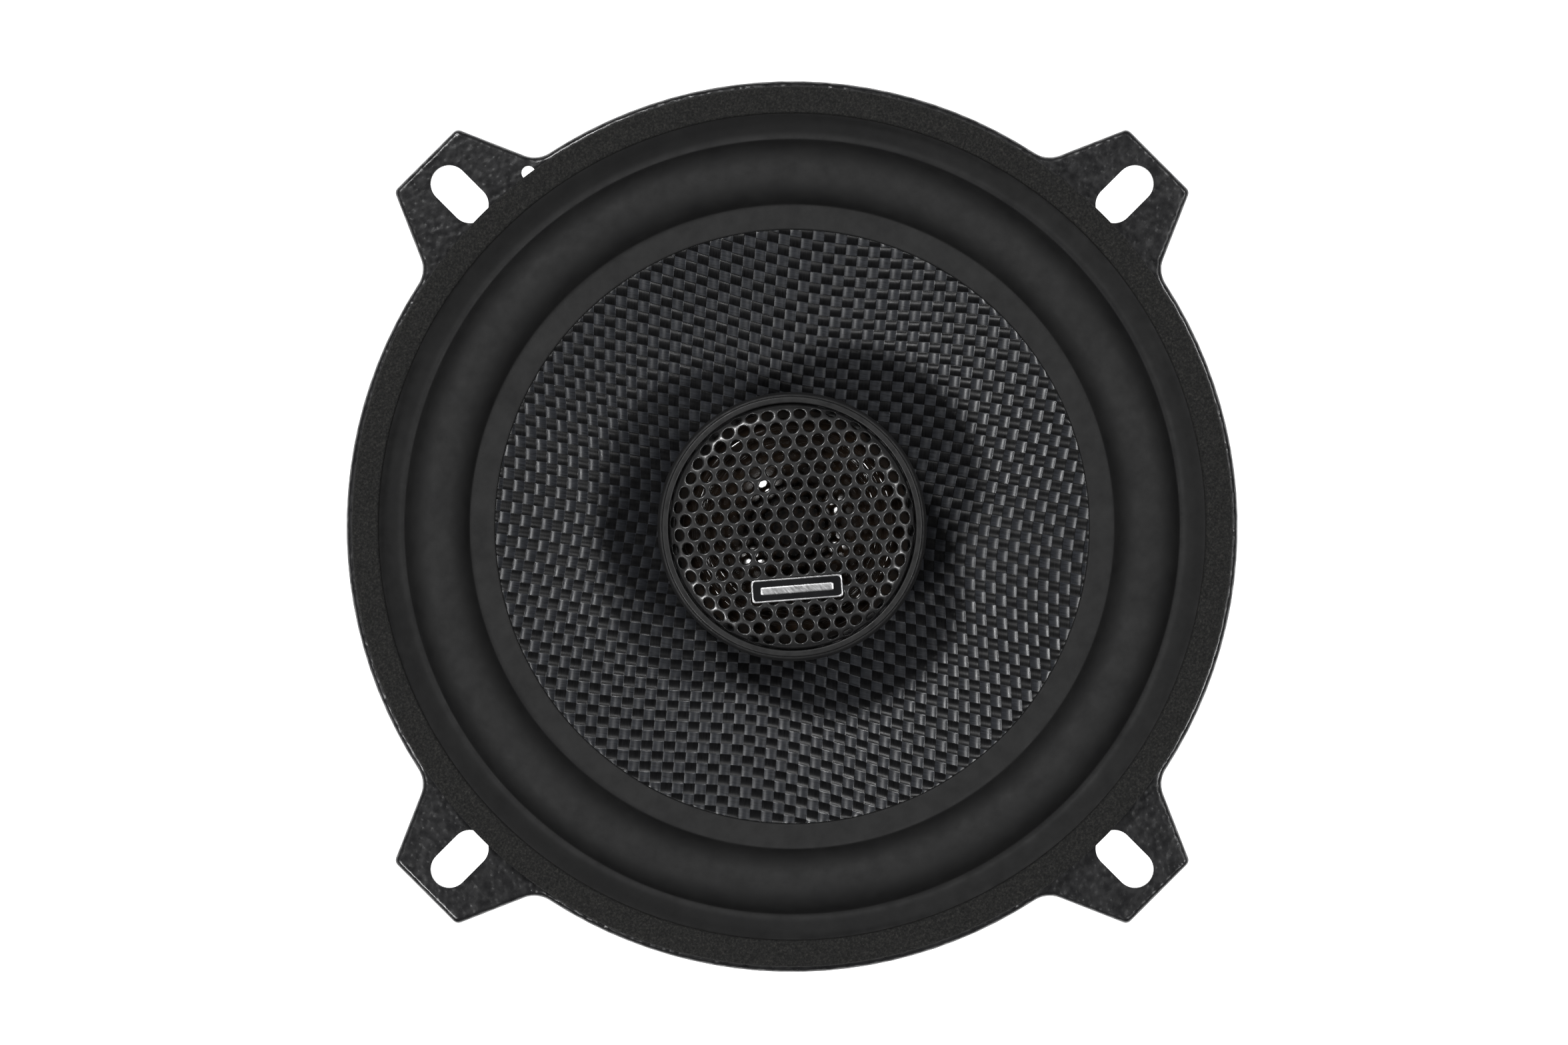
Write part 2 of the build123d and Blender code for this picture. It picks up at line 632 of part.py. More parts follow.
with BuildPart() as tweeter_voice_coil:
    tweeter_former_top = diaphragm_z + DIAPHRAGM_SEAT_RISE - GLUE
    with BuildSketch(Plane.XZ):
        Polygon(
            (TWEETER_FORMER_IN_R, TWEETER_FORMER_LOW),
            (TWEETER_FORMER_OUT_R, TWEETER_FORMER_LOW),
            (TWEETER_FORMER_OUT_R, TWEETER_WIRE_LOW),
            (TWEETER_WIRE_OUT_R, TWEETER_WIRE_LOW),
            (TWEETER_WIRE_OUT_R, TWEETER_WIRE_TOP),
            (TWEETER_FORMER_OUT_R, TWEETER_WIRE_TOP),
            (TWEETER_FORMER_OUT_R, tweeter_former_top),
            (TWEETER_FORMER_IN_R, tweeter_former_top),
            align=None,
        )
    revolve(axis=Axis.Z)
tweeter_voice_coil.part.label = "tweeter_voice_coil"
export_step(tweeter_voice_coil.part, "parts/tweeter_voice_coil.step")

with BuildPart() as tweeter_bezel:
    with BuildSketch(Plane.XZ):
        Polygon(
            (BEZEL_LEDGE_R, BEZEL_SPIGOT_Z),
            (CARRIER_OUT_R, BEZEL_SPIGOT_Z),
            (CARRIER_OUT_R, CUP_TOP),
            (BEZEL_OUT_R, CUP_TOP),
            (BEZEL_OUT_R, BEZEL_TOP),
            (BEZEL_IN_R, BEZEL_TOP),
            (BEZEL_IN_R, BEZEL_LEDGE_Z),
            (BEZEL_LEDGE_R, BEZEL_LEDGE_Z),
            align=None,
        )
    revolve(axis=Axis.Z)
    fillet(tweeter_bezel.edges().group_by(Axis.Z)[-1], BEZEL_ROUND)
tweeter_bezel.part.label = "tweeter_bezel"
export_step(tweeter_bezel.part, "parts/tweeter_bezel.step")

# the grille's dome is part of a sphere through its flat rim and its crown
DOME_FOOT_R = BEZEL_LEDGE_R - 0.1
SPHERE_R = dome_radius(DOME_FOOT_R, GRILLE_RISE)
SPHERE_Z = BEZEL_LEDGE_Z + GRILLE_RISE - SPHERE_R


def grille_hole_places():
    """Centres of the hexagonal rows of holes, inside the hole field."""
    row_step = HOLE_PITCH * sqrt(3) / 2
    reach = int(HOLE_FIELD_R / row_step) + 1
    places = []
    for row in range(-reach, reach + 1):
        shift = HOLE_PITCH / 2 if row % 2 else 0
        for column in range(-reach, reach + 1):
            x = column * HOLE_PITCH + shift
            y = row * row_step
            if x * x + y * y <= HOLE_FIELD_R**2:
                places.append((x, y))
    return places


with BuildPart() as tweeter_grille:
    with BuildSketch(Plane.XZ):
        with BuildLine():
            rim = Line((GRILLE_R, BEZEL_LEDGE_Z), (DOME_FOOT_R, BEZEL_LEDGE_Z))
            half_r = DOME_FOOT_R / 2
            ThreePointArc(
                rim @ 1,
                (half_r, SPHERE_Z + sqrt(SPHERE_R**2 - half_r**2)),
                (0, BEZEL_LEDGE_Z + GRILLE_RISE),
            )
            offset(amount=GRILLE_T, side=Side.RIGHT)
        make_face()
    revolve(axis=Axis.Z)
    with BuildSketch(Plane.XY.offset(BEZEL_LEDGE_Z - 1).rotated((0, 0, TWEETER_TURN))):
        with Locations(*grille_hole_places()):
            Circle(HOLE_R)
    extrude(amount=5, mode=Mode.SUBTRACT)
tweeter_grille.part.label = "tweeter_grille"
export_step(tweeter_grille.part, "parts/tweeter_grille.step")

with BuildPart() as badge_plate:
    with BuildSketch(Plane.XY.offset(BEZEL_LEDGE_Z).rotated((0, 0, TWEETER_TURN))):
        with Locations((0, BADGE_OFFSET)):
            RectangleRounded(*BADGE_SIZE, BADGE_CORNER_R)
    extrude(amount=5)
    with Locations((0, 0, SPHERE_Z)):
        Sphere(SPHERE_R + GRILLE_T + BADGE_T, mode=Mode.INTERSECT)
        Sphere(SPHERE_R + GRILLE_T + 0.02, mode=Mode.SUBTRACT)
badge_plate.part.label = "badge_plate"
export_step(badge_plate.part, "parts/badge_plate.step")

with BuildPart() as tweeter_lugs:
    # two tinned tongues under the carrier ring, where the tweeter's leads are soldered
    with BuildSketch(Plane.XY.offset(POT_TOP)):
        for side_sign in (-1, 1):
            with Locations((side_sign * LUG_X, LUG_Y)):
                Rectangle(*LUG_SIZE[:2])
    extrude(amount=-LUG_SIZE[2])
tweeter_lugs.part.label = "tweeter_lugs"
export_step(tweeter_lugs.part, "parts/tweeter_lugs.step")

# ======================= terminals =======================
with BuildPart() as terminal_board:
    with BuildSketch(Plane.XY.offset(SHELF_Z)):
        with Locations((0, BOARD_Y)):
            RectangleRounded(BOARD_SIZE[0], BOARD_SIZE[1], BOARD_CORNER_R)
        for rivet_x in (-BLADE_X, 0, BLADE_X):
            with Locations((rivet_x, BLADE_RIVET_Y)):
                Circle(RIVET_HOLE_R, mode=Mode.SUBTRACT)
    extrude(amount=BOARD_SIZE[2])
terminal_board.part.label = "terminal_board"
export_step(terminal_board.part, "parts/terminal_board.step")


def blade_outline(x, width):
    """A spade blade with a broad foot round its rivet and a narrow solder end."""
    with Locations((x, (BLADE_RIVET_Y + BLADE_OUT_Y) / 2)):
        Rectangle(width, BLADE_RIVET_Y - BLADE_OUT_Y)
    with Locations((x, (BLADE_RIVET_Y + BLADE_IN_Y) / 2)):
        Rectangle(SOLDER_END_W, BLADE_IN_Y - BLADE_RIVET_Y)
    with Locations((x, BLADE_RIVET_Y)):
        Circle(BLADE_EYE_R)
        Circle(RIVET_HOLE_R, mode=Mode.SUBTRACT)


with BuildPart() as terminal_positive:
    with BuildSketch(Plane.XY.offset(BOARD_TOP)):
        blade_outline(BLADE_X, POSITIVE_BLADE_W)
        with Locations((BLADE_X, BLADE_OUT_Y + PIP_FROM_TIP)):
            Circle(POSITIVE_PIP_R, mode=Mode.SUBTRACT)
    extrude(amount=BLADE_T)
    chamfer(terminal_positive.faces().sort_by(Axis.Y)[0].edges().filter_by(Axis.X), BLADE_CHAMFER)
terminal_positive.part.label = "terminal_positive"
export_step(terminal_positive.part, "parts/terminal_positive.step")

with BuildPart() as terminal_negative:
    with BuildSketch(Plane.XY.offset(BOARD_TOP)):
        blade_outline(-BLADE_X, NEGATIVE_BLADE_W)
        with Locations((-BLADE_X, BLADE_OUT_Y + PIP_FROM_TIP)):
            Circle(NEGATIVE_PIP_R, mode=Mode.SUBTRACT)
    extrude(amount=BLADE_T)
    chamfer(terminal_negative.faces().sort_by(Axis.Y)[0].edges().filter_by(Axis.X), BLADE_CHAMFER)
terminal_negative.part.label = "terminal_negative"
export_step(terminal_negative.part, "parts/terminal_negative.step")


def rivet(x, y, grip_low, grip_high):
    """A rivet with a flat head at each end of its grip."""
    with Locations((x, y, grip_low)):
        Cylinder(RIVET_SHANK_R, grip_high - grip_low, align=(Align.CENTER, Align.CENTER, Align.MIN))
        Cylinder(RIVET_HEAD_R, RIVET_HEAD_T, align=(Align.CENTER, Align.CENTER, Align.MAX))
    with Locations((x, y, grip_high)):
        Cylinder(RIVET_HEAD_R, RIVET_HEAD_T, align=(Align.CENTER, Align.CENTER, Align.MIN))


with BuildPart() as terminal_rivets:
    for rivet_x in (-BLADE_X, BLADE_X):
        rivet(rivet_x, BLADE_RIVET_Y, SHELF_Z, BLADE_TOP)
terminal_rivets.part.label = "terminal_rivets"
export_step(terminal_rivets.part, "parts/terminal_rivets.step")

with BuildPart() as board_rivet:
    rivet(0, BLADE_RIVET_Y, SHELF_Z - SHEET, BOARD_TOP)
board_rivet.part.label = "board_rivet"
export_step(board_rivet.part, "parts/board_rivet.step")

# ======================= leads =======================
TINSEL_ROUTE = [
    (4.9, -14.0, -16.0),
    (5.9, -17.4, -15.0),
    (7.3, -22.0, -13.6),
    (9.0, -28.5, -12.6),
    (10.4, -35.0, -12.9),
    (9.8, -39.8, -14.2),
    (BLADE_X, -43.0, BLADE_TOP + TINSEL_R + REST_GAP),
]

with BuildPart() as tinsel_lead_positive:
    with BuildLine() as tinsel_path:
        FilletPolyline(*TINSEL_ROUTE, radius=corner_radii(TINSEL_ROUTE))
    with BuildSketch(Plane(origin=tinsel_path.line @ 0, z_dir=tinsel_path.line % 0)):
        Circle(TINSEL_R)
    sweep()
tinsel_lead_positive.part.label = "tinsel_lead_positive"
export_step(tinsel_lead_positive.part, "parts/tinsel_lead_positive.step")

with BuildPart() as tinsel_lead_negative:
    mirror(tinsel_lead_positive.part, about=Plane.YZ)
tinsel_lead_negative.part.label = "tinsel_lead_negative"
export_step(tinsel_lead_negative.part, "parts/tinsel_lead_negative.step")

with BuildPart() as coil_solder_pads:
    # two patches on the former, where the tinsel leads meet the winding's ends
    with BuildSketch(Plane.XY.offset(PAD_LOW)):
        Circle(COIL_FORMER_OUT_R + PAD_GROWTH)
        Circle(COIL_FORMER_OUT_R + COIL_GLUE, mode=Mode.SUBTRACT)
        with BuildSketch(mode=Mode.INTERSECT):
            for side_sign in (-1, 1):
                with Locations((side_sign * PAD_X, PAD_Y)):
                    Rectangle(*PAD_SIZE[:2])
    extrude(amount=PAD_SIZE[2])
coil_solder_pads.part.label = "coil_solder_pads"
export_step(coil_solder_pads.part, "parts/coil_solder_pads.step")

with BuildPart() as coil_lead_outs:
    # the winding's two ends, laid up the former to the solder pads
    with BuildSketch(Plane.XY.offset(WINDING_TOP)):
        Circle(COIL_FORMER_OUT_R + WIRE_T)
        Circle(COIL_FORMER_OUT_R + COIL_GLUE, mode=Mode.SUBTRACT)
        with BuildSketch(mode=Mode.INTERSECT):
            for side_sign in (-1, 1):
                with Locations((side_sign * PAD_X, PAD_Y)):
                    Rectangle(WIRE_W, PAD_SIZE[1])
    extrude(amount=PAD_LOW - WINDING_TOP)
coil_lead_outs.part.label = "coil_lead_outs"
export_step(coil_lead_outs.part, "parts/coil_lead_outs.step")

# the tweeter's leads run from its lugs, under the pot, down the hollow post, along the
# channel in the back plate and up beside the magnet
UNDER_POT_Z = CUP_FLOOR_TOP + 0.9
CHANNEL_Z = BACK_Z + 1.6
MAGNET_SIDE_Y = -(MAGNET_R + 1.8)
LEAD_X = LEAD_PITCH / 2
LEAD_START = [
    (LEAD_X + 0.5, LUG_Y, POT_TOP - LUG_SIZE[2] - REST_GAP),
    (LEAD_X + 0.4, LUG_Y, -1.0),
    (LEAD_X, -13.9, UNDER_POT_Z),
    (LEAD_X, -4.0, UNDER_POT_Z - 0.1),
    (LEAD_X, 0.0, -10.5),
    (LEAD_X, 0.0, CHANNEL_Z),
    (LEAD_X, MAGNET_SIDE_Y, CHANNEL_Z),
]
LEAD_START_RADII = [1.6, 1.6, 2.2, 2.6, 4.0, 3.0]
SPLICE_Z = -27.0
POSITIVE_LEAD_ROUTE = LEAD_START + [(LEAD_X, MAGNET_SIDE_Y, SPLICE_Z)]
NEGATIVE_LEAD_ROUTE = [(-x, y, z) for x, y, z in LEAD_START] + [
    (-LEAD_X, MAGNET_SIDE_Y, -26.5),
    (-3.8, -39.4, -21.4),
    (-6.6, -43.2, -19.2),
    (-BLADE_X, BLADE_RIVET_Y, SHELF_Z - RIVET_HEAD_T - LEAD_R - REST_GAP),
]

with BuildPart() as tweeter_lead_positive:
    with BuildLine() as positive_path:
        FilletPolyline(*POSITIVE_LEAD_ROUTE, radius=LEAD_START_RADII)
    with BuildSketch(Plane(origin=positive_path.line @ 0, z_dir=positive_path.line % 0)):
        Circle(LEAD_R)
    sweep()
tweeter_lead_positive.part.label = "tweeter_lead_positive"
export_step(tweeter_lead_positive.part, "parts/tweeter_lead_positive.step")

with BuildPart() as tweeter_lead_negative:
    with BuildLine() as negative_path:
        FilletPolyline(*NEGATIVE_LEAD_ROUTE, radius=LEAD_START_RADII + [5.0, 4.0, 3.5])
    with BuildSketch(Plane(origin=negative_path.line @ 0, z_dir=negative_path.line % 0)):
        Circle(LEAD_R)
    sweep()
tweeter_lead_negative.part.label = "tweeter_lead_negative"
export_step(tweeter_lead_negative.part, "parts/tweeter_lead_negative.step")

# ======================= crossover capacitor =======================
# It lies along the basket's lower wall, under the shelf and beside the terminal board.
CAPACITOR_CENTRE = Vector(CAPACITOR_CENTRE_R, 0, CAPACITOR_Z).rotate(Axis.Z, CAPACITOR_ANGLE)
CAPACITOR_ALONG = Vector(0, 1, 0).rotate(Axis.Z, CAPACITOR_ANGLE)
END_A = CAPACITOR_CENTRE - CAPACITOR_ALONG * (CAPACITOR_L / 2)
END_B = CAPACITOR_CENTRE + CAPACITOR_ALONG * (CAPACITOR_L / 2)

with BuildPart() as crossover_capacitor:
    with BuildSketch(Plane(origin=END_A, z_dir=CAPACITOR_ALONG)):
        Circle(CAPACITOR_R)
    extrude(amount=CAPACITOR_L)
    fillet(crossover_capacitor.edges().filter_by(GeomType.CIRCLE), CAPACITOR_ROUND)
crossover_capacitor.part.label = "crossover_capacitor"
export_step(crossover_capacitor.part, "parts/crossover_capacitor.step")

with BuildPart() as capacitor_glue:
    # bead of adhesive between the capacitor and the basket's wall
    glue_centre = Vector(GLUE_BEAD_R, 0, CAPACITOR_Z).rotate(Axis.Z, CAPACITOR_ANGLE)
    with Locations(Location(glue_centre, (0, 0, CAPACITOR_ANGLE))):
        Box(*GLUE_BEAD)
    add(basket.part, mode=Mode.SUBTRACT)
    add(crossover_capacitor.part, mode=Mode.SUBTRACT)
capacitor_glue.part.label = "capacitor_glue"
export_step(capacitor_glue.part, "parts/capacitor_glue.step")

TO_SPLICE = [
    tuple(END_A),
    tuple(END_A - CAPACITOR_ALONG * 2.2),
    (LEAD_X, MAGNET_SIDE_Y, CAPACITOR_Z - 1.2),
    (LEAD_X, MAGNET_SIDE_Y, SPLICE_Z + GLUE),
]
TO_TERMINAL = [
    tuple(END_B),
    tuple(END_B + CAPACITOR_ALONG * 2.6),
    (18.8, -37.0, -20.8),
    (13.5, -43.6, -19.2),
    (BLADE_X, BLADE_RIVET_Y, SHELF_Z - RIVET_HEAD_T - CAPACITOR_LEAD_R - REST_GAP),
]

with BuildPart() as capacitor_leads:
    for route in (TO_SPLICE, TO_TERMINAL):
        with BuildLine() as wire_path:
            FilletPolyline(*route, radius=corner_radii(route))
        with BuildSketch(Plane(origin=wire_path.line @ 0, z_dir=wire_path.line % 0)):
            Circle(CAPACITOR_LEAD_R)
        sweep(path=wire_path.line)
capacitor_leads.part.label = "capacitor_leads"
export_step(capacitor_leads.part, "parts/capacitor_leads.step")

with BuildPart() as splice_sleeve:
    with BuildSketch(Plane.XY.offset(SPLICE_Z - 3.0)):
        with Locations((LEAD_X, MAGNET_SIDE_Y)):
            Circle(LEAD_R + GLUE + SLEEVE_WALL)
            Circle(LEAD_R + GLUE, mode=Mode.SUBTRACT)
    extrude(amount=SLEEVE_L)
splice_sleeve.part.label = "splice_sleeve"
export_step(splice_sleeve.part, "parts/splice_sleeve.step")
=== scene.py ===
import math
from collections import Counter

import bmesh
import bpy
import numpy as np
from mathutils import Matrix, Vector, noise
from mathutils.geometry import delaunay_2d_cdt


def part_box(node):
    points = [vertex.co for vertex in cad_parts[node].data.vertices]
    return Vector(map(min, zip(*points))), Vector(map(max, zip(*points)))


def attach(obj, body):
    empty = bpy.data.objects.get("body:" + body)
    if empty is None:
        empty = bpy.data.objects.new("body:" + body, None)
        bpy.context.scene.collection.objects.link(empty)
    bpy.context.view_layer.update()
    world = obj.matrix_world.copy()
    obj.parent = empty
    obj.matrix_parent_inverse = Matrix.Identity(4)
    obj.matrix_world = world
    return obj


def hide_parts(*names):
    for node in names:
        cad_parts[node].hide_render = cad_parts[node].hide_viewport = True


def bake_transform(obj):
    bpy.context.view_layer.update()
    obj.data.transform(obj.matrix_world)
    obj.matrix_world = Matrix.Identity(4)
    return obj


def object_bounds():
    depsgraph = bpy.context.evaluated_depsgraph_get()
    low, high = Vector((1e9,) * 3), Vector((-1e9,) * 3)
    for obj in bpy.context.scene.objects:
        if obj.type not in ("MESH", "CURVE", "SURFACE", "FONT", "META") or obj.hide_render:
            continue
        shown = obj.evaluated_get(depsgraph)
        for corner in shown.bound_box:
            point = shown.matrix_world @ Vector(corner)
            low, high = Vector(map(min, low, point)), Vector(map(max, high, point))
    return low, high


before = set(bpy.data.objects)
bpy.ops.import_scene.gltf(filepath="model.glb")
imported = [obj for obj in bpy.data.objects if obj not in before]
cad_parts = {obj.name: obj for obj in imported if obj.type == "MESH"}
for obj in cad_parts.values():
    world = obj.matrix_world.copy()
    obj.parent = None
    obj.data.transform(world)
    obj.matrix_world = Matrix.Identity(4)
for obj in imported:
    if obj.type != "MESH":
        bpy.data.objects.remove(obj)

# Lengths are in millimetres, and MM turns them into Blender's metres, unless a comment says metres.
MM = 0.001
CAD_BOX = [list(corner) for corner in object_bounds()]
FRAME, CONE, DOME = "frame", "cone_assembly", "tweeter_dome"
scene = bpy.context.scene


# === camera ===
# The camera looks straight down the speaker's axis, turned 45 degrees, so that the four
# tabs stand on the picture's diagonals.
PICTURE_TURN = math.radians(-45)
CAMERA_DISTANCE = 0.70  # metres
VIEW_WIDTH = 0.2284  # width of the picture at the flange, in metres
PICTURE_RIGHT = Vector((math.cos(PICTURE_TURN), math.sin(PICTURE_TURN), 0))
PICTURE_UP = Vector((-math.sin(PICTURE_TURN), math.cos(PICTURE_TURN), 0))
AXIS_OFF_CENTRE = (1.18 * MM, -0.59 * MM)  # where the axis lies in the picture: right, up


def make_camera():
    """Looks straight down, with VIEW_WIDTH across its picture at the flange."""
    flange_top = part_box("basket")[1].z
    data = bpy.data.cameras.new("camera")
    data.sensor_width = 36.0
    data.lens = data.sensor_width * CAMERA_DISTANCE / VIEW_WIDTH
    data.clip_start = 0.01
    camera = bpy.data.objects.new("camera", data)
    away = PICTURE_RIGHT * AXIS_OFF_CENTRE[0] + PICTURE_UP * AXIS_OFF_CENTRE[1]
    camera.location = Vector((0, 0, flange_top + CAMERA_DISTANCE)) - away
    camera.rotation_euler = (0, 0, PICTURE_TURN)
    scene.collection.objects.link(camera)
    scene.camera = camera


make_camera()


# === mesh helpers ===
def add_mesh(name, verts, faces, materials, face_slots=None):
    """A smooth-shaded mesh object, with its points given in millimetres."""
    mesh = bpy.data.meshes.new(name)
    mesh.from_pydata([Vector(v) * MM for v in verts], [], faces)
    for material in materials:
        mesh.materials.append(material)
    mesh.shade_smooth()
    if face_slots is not None:
        mesh.polygons.foreach_set("material_index", face_slots)
    mesh.update()
    piece = bpy.data.objects.new(name, mesh)
    scene.collection.objects.link(piece)
    return piece


def clean(piece, merge=1e-6):
    """Merges doubled points and turns every face outwards."""
    work = bmesh.new()
    work.from_mesh(piece.data)
    bmesh.ops.remove_doubles(work, verts=work.verts, dist=merge)
    bmesh.ops.recalc_face_normals(work, faces=work.faces)
    work.to_mesh(piece.data)
    work.free()
    piece.data.shade_smooth()
    return piece


def round_corners(points, radius, steps=5, closed=True):
    """The outline with each corner turned into an arc. radius is a number, or one for each corner."""
    count = len(points)
    radii = radius if isinstance(radius, (list, tuple)) else [radius] * count
    out = []
    for i, here in enumerate(points):
        if not closed and i in (0, count - 1):
            out.append(tuple(here))
            continue
        here = Vector(here)
        before = Vector(points[i - 1]) - here
        after = Vector(points[(i + 1) % count]) - here
        reach = min(radii[i], 0.45 * before.length, 0.45 * after.length)
        if reach <= 0 or radii[i] <= 0:
            out.append(tuple(here))
            continue
        start = here + before.normalized() * reach
        end = here + after.normalized() * reach
        for k in range(steps + 1):
            t = k / steps
            point = start * (1 - t) ** 2 + here * 2 * t * (1 - t) + end * t**2
            out.append(tuple(point))
    return out


def soften(points, step, width):
    """The open line resampled evenly, its corners rounded by a bell-shaped average of that width."""
    line = np.array(points, float)
    run = np.concatenate([[0], np.cumsum(np.hypot(*np.diff(line, axis=0).T))])
    even = np.linspace(0, run[-1], max(3, int(run[-1] / step)))
    line = np.stack([np.interp(even, run, line[:, k]) for k in (0, 1)], 1)
    reach = int(3 * width / step)
    weights = np.exp(-0.5 * (np.arange(-reach, reach + 1) * step / width) ** 2)
    weights /= weights.sum()
    before = 2 * line[0] - line[reach:0:-1]
    after = 2 * line[-1] - line[-2:-reach - 2:-1]
    padded = np.vstack([before, line, after])
    return np.stack([np.convolve(padded[:, k], weights, "valid") for k in (0, 1)], 1)


TIP = 0.35  # how far a thickened line's ends stand out, as a share of the thickness


def thicken(line, thickness):
    """A closed outline round an open line, with a blunt point at each end."""
    line = np.array(line, float)
    along = np.gradient(line, axis=0)
    along /= np.hypot(*along.T)[:, None]
    across = np.stack([-along[:, 1], along[:, 0]], 1) * thickness / 2
    one, other = line + across, line - across
    tip_end = line[-1] + along[-1] * thickness * TIP
    tip_start = line[0] - along[0] * thickness * TIP
    return np.vstack([one, [tip_end], other[::-1], [tip_start]]).tolist()


def lathe(name, outline, material, segments, shape=None):
    """A closed ring turned from an outline of (radius, height) points, in millimetres.
    shape(x, y, z) may move a point."""
    verts, faces = [], []
    count = len(outline)
    for s in range(segments):
        angle = 2 * math.pi * s / segments
        c, d = math.cos(angle), math.sin(angle)
        for r, z in outline:
            point = (r * c, r * d, z)
            verts.append(shape(*point) if shape else point)
    for s in range(segments):
        a, b = s * count, ((s + 1) % segments) * count
        for i in range(count):
            j = (i + 1) % count
            faces.append((a + i, b + i, b + j, a + j))
    return clean(add_mesh(name, verts, faces, [material]))


def radial_blend(piece):
    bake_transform(piece)


def finish_piece(piece, body, slot, *replaced):
    """Rides the piece on its body and hides the CAD nodes it stands for."""
    if body:
        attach(piece, body)
    if replaced:
        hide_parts(*replaced)


# === material helpers ===
class Paint:
    """A procedural material built node by node."""

    def __init__(self, name, colour, roughness, metallic=0.0, **sockets):
        self.material = bpy.data.materials.new(name)
        self.material.use_nodes = True
        tree = self.material.node_tree
        self.nodes, self.links = tree.nodes, tree.links
        self.shader = self.nodes["Principled BSDF"]
        sockets.update(Base_Color=(*colour, 1), Roughness=roughness, Metallic=metallic)
        for socket, value in sockets.items():
            self.shader.inputs[socket.replace("_", " ")].default_value = value
        self.place = self.nodes.new("ShaderNodeTexCoord").outputs["Object"]

    def node(self, kind, inputs, **settings):
        """A new node; an input is a number or the socket that feeds it."""
        made = self.nodes.new(kind)
        for key, value in settings.items():
            setattr(made, key, value)
        for key, value in inputs.items():
            if isinstance(value, bpy.types.NodeSocket):
                self.links.new(value, made.inputs[key])
            else:
                made.inputs[key].default_value = value
        return made

    def noise(self, scale, detail=3.0, roughness=0.55, place=None):
        """Cloudy noise; scale is in cycles per metre."""
        inputs = {"Vector": place or self.place, "Scale": scale, "Detail": detail, "Roughness": roughness}
        return self.node("ShaderNodeTexNoise", inputs).outputs["Fac"]

    def cells(self, scale, feature="F1"):
        """Distance to the nearest of scattered points; scale is in cells per metre."""
        inputs = {"Vector": self.place, "Scale": scale}
        return self.node("ShaderNodeTexVoronoi", inputs, feature=feature).outputs["Distance"]

    def ramp(self, value, stops):
        """stops: (position, colour or number), between which the output runs."""
        made = self.node("ShaderNodeValToRGB", {"Fac": value})
        elements = made.color_ramp.elements
        while len(elements) < len(stops):
            elements.new(0.5)
        for element, (position, colour) in zip(elements, stops):
            element.position = position
            grey = isinstance(colour, (int, float))
            element.color = (colour, colour, colour, 1) if grey else (*colour, 1)
        return made.outputs["Color"]

    def maths(self, operation, a, b=0.0):
        return self.node("ShaderNodeMath", {0: a, 1: b}, operation=operation).outputs[0]

    def colour(self, value, stops):
        self.links.new(self.ramp(value, stops), self.shader.inputs["Base Color"])

    def rough(self, value, stops):
        self.links.new(self.ramp(value, stops), self.shader.inputs["Roughness"])

    def bump(self, height, strength, distance_mm):
        """Adds a bump on top of the bumps already there."""
        inputs = {"Height": height, "Strength": strength, "Distance": distance_mm * MM}
        normal = self.shader.inputs["Normal"]
        if normal.is_linked:
            inputs["Normal"] = normal.links[0].from_socket
        made = self.node("ShaderNodeBump", inputs)
        self.links.new(made.outputs["Normal"], normal)

    def squeezed(self, scale, place=None):
        """Coordinates scaled by axis, for grain that runs one way."""
        inputs = {"Vector": place or self.place, "Scale": scale}
        return self.node("ShaderNodeMapping", inputs).outputs["Vector"]


def radius_of(paint):
    """Distance from the speaker's axis, in metres, as a socket."""
    parts = paint.node("ShaderNodeSeparateXYZ", {"Vector": paint.place})
    flat = paint.node("ShaderNodeCombineXYZ", {0: parts.outputs[0], 1: parts.outputs[1], 2: 0.0})
    return paint.node("ShaderNodeVectorMath", {0: flat.outputs[0]}, operation="LENGTH").outputs["Value"]


# === materials ===
def painted_steel():
    """Gloss black stove enamel with the shallow orange-peel dimples of hammered paint."""
    p = Paint("black_enamel", (0.012, 0.012, 0.013), 0.3, Coat_Weight=0.35, Coat_Roughness=0.12)
    p.colour(p.noise(300, 4), [(0.35, (0.010, 0.010, 0.011)), (0.7, (0.018, 0.018, 0.019))])
    p.rough(p.noise(900, 3), [(0.3, 0.22), (0.7, 0.42)])
    p.bump(p.cells(1150, "SMOOTH_F1"), 0.55, 0.22)
    p.bump(p.noise(2600, 2), 0.25, 0.06)
    return p.material


def closed_cell():
    """The mounting gasket: a dense closed-cell ring with a sandy grain."""
    p = Paint("gasket_closed_cell", (0.028, 0.028, 0.028), 0.92, Specular_IOR_Level=0.3)
    grain = p.noise(3000, 5, 0.8)
    tones = [(0.36, 0.006), (0.52, (0.018, 0.018, 0.0175)), (0.7, (0.05, 0.048, 0.044))]
    p.colour(grain, tones)
    p.bump(grain, 0.9, 0.16)
    p.bump(p.cells(1900), 0.3, 0.08)
    return p.material


def surround_rubber():
    """Matt butyl rubber, slightly blotchy from the mould."""
    p = Paint("surround_rubber", (0.016, 0.016, 0.017), 0.7, Specular_IOR_Level=0.4)
    p.colour(p.noise(220, 5), [(0.3, (0.007, 0.007, 0.0073)), (0.75, 0.0125)])
    p.rough(p.noise(520, 5), [(0.3, 0.62), (0.75, 0.78)])
    p.bump(p.noise(3800, 3), 0.18, 0.05)
    return p.material


FILAMENTS = (500, 11000, 500)  # noise cycles per metre along, across and through a tow


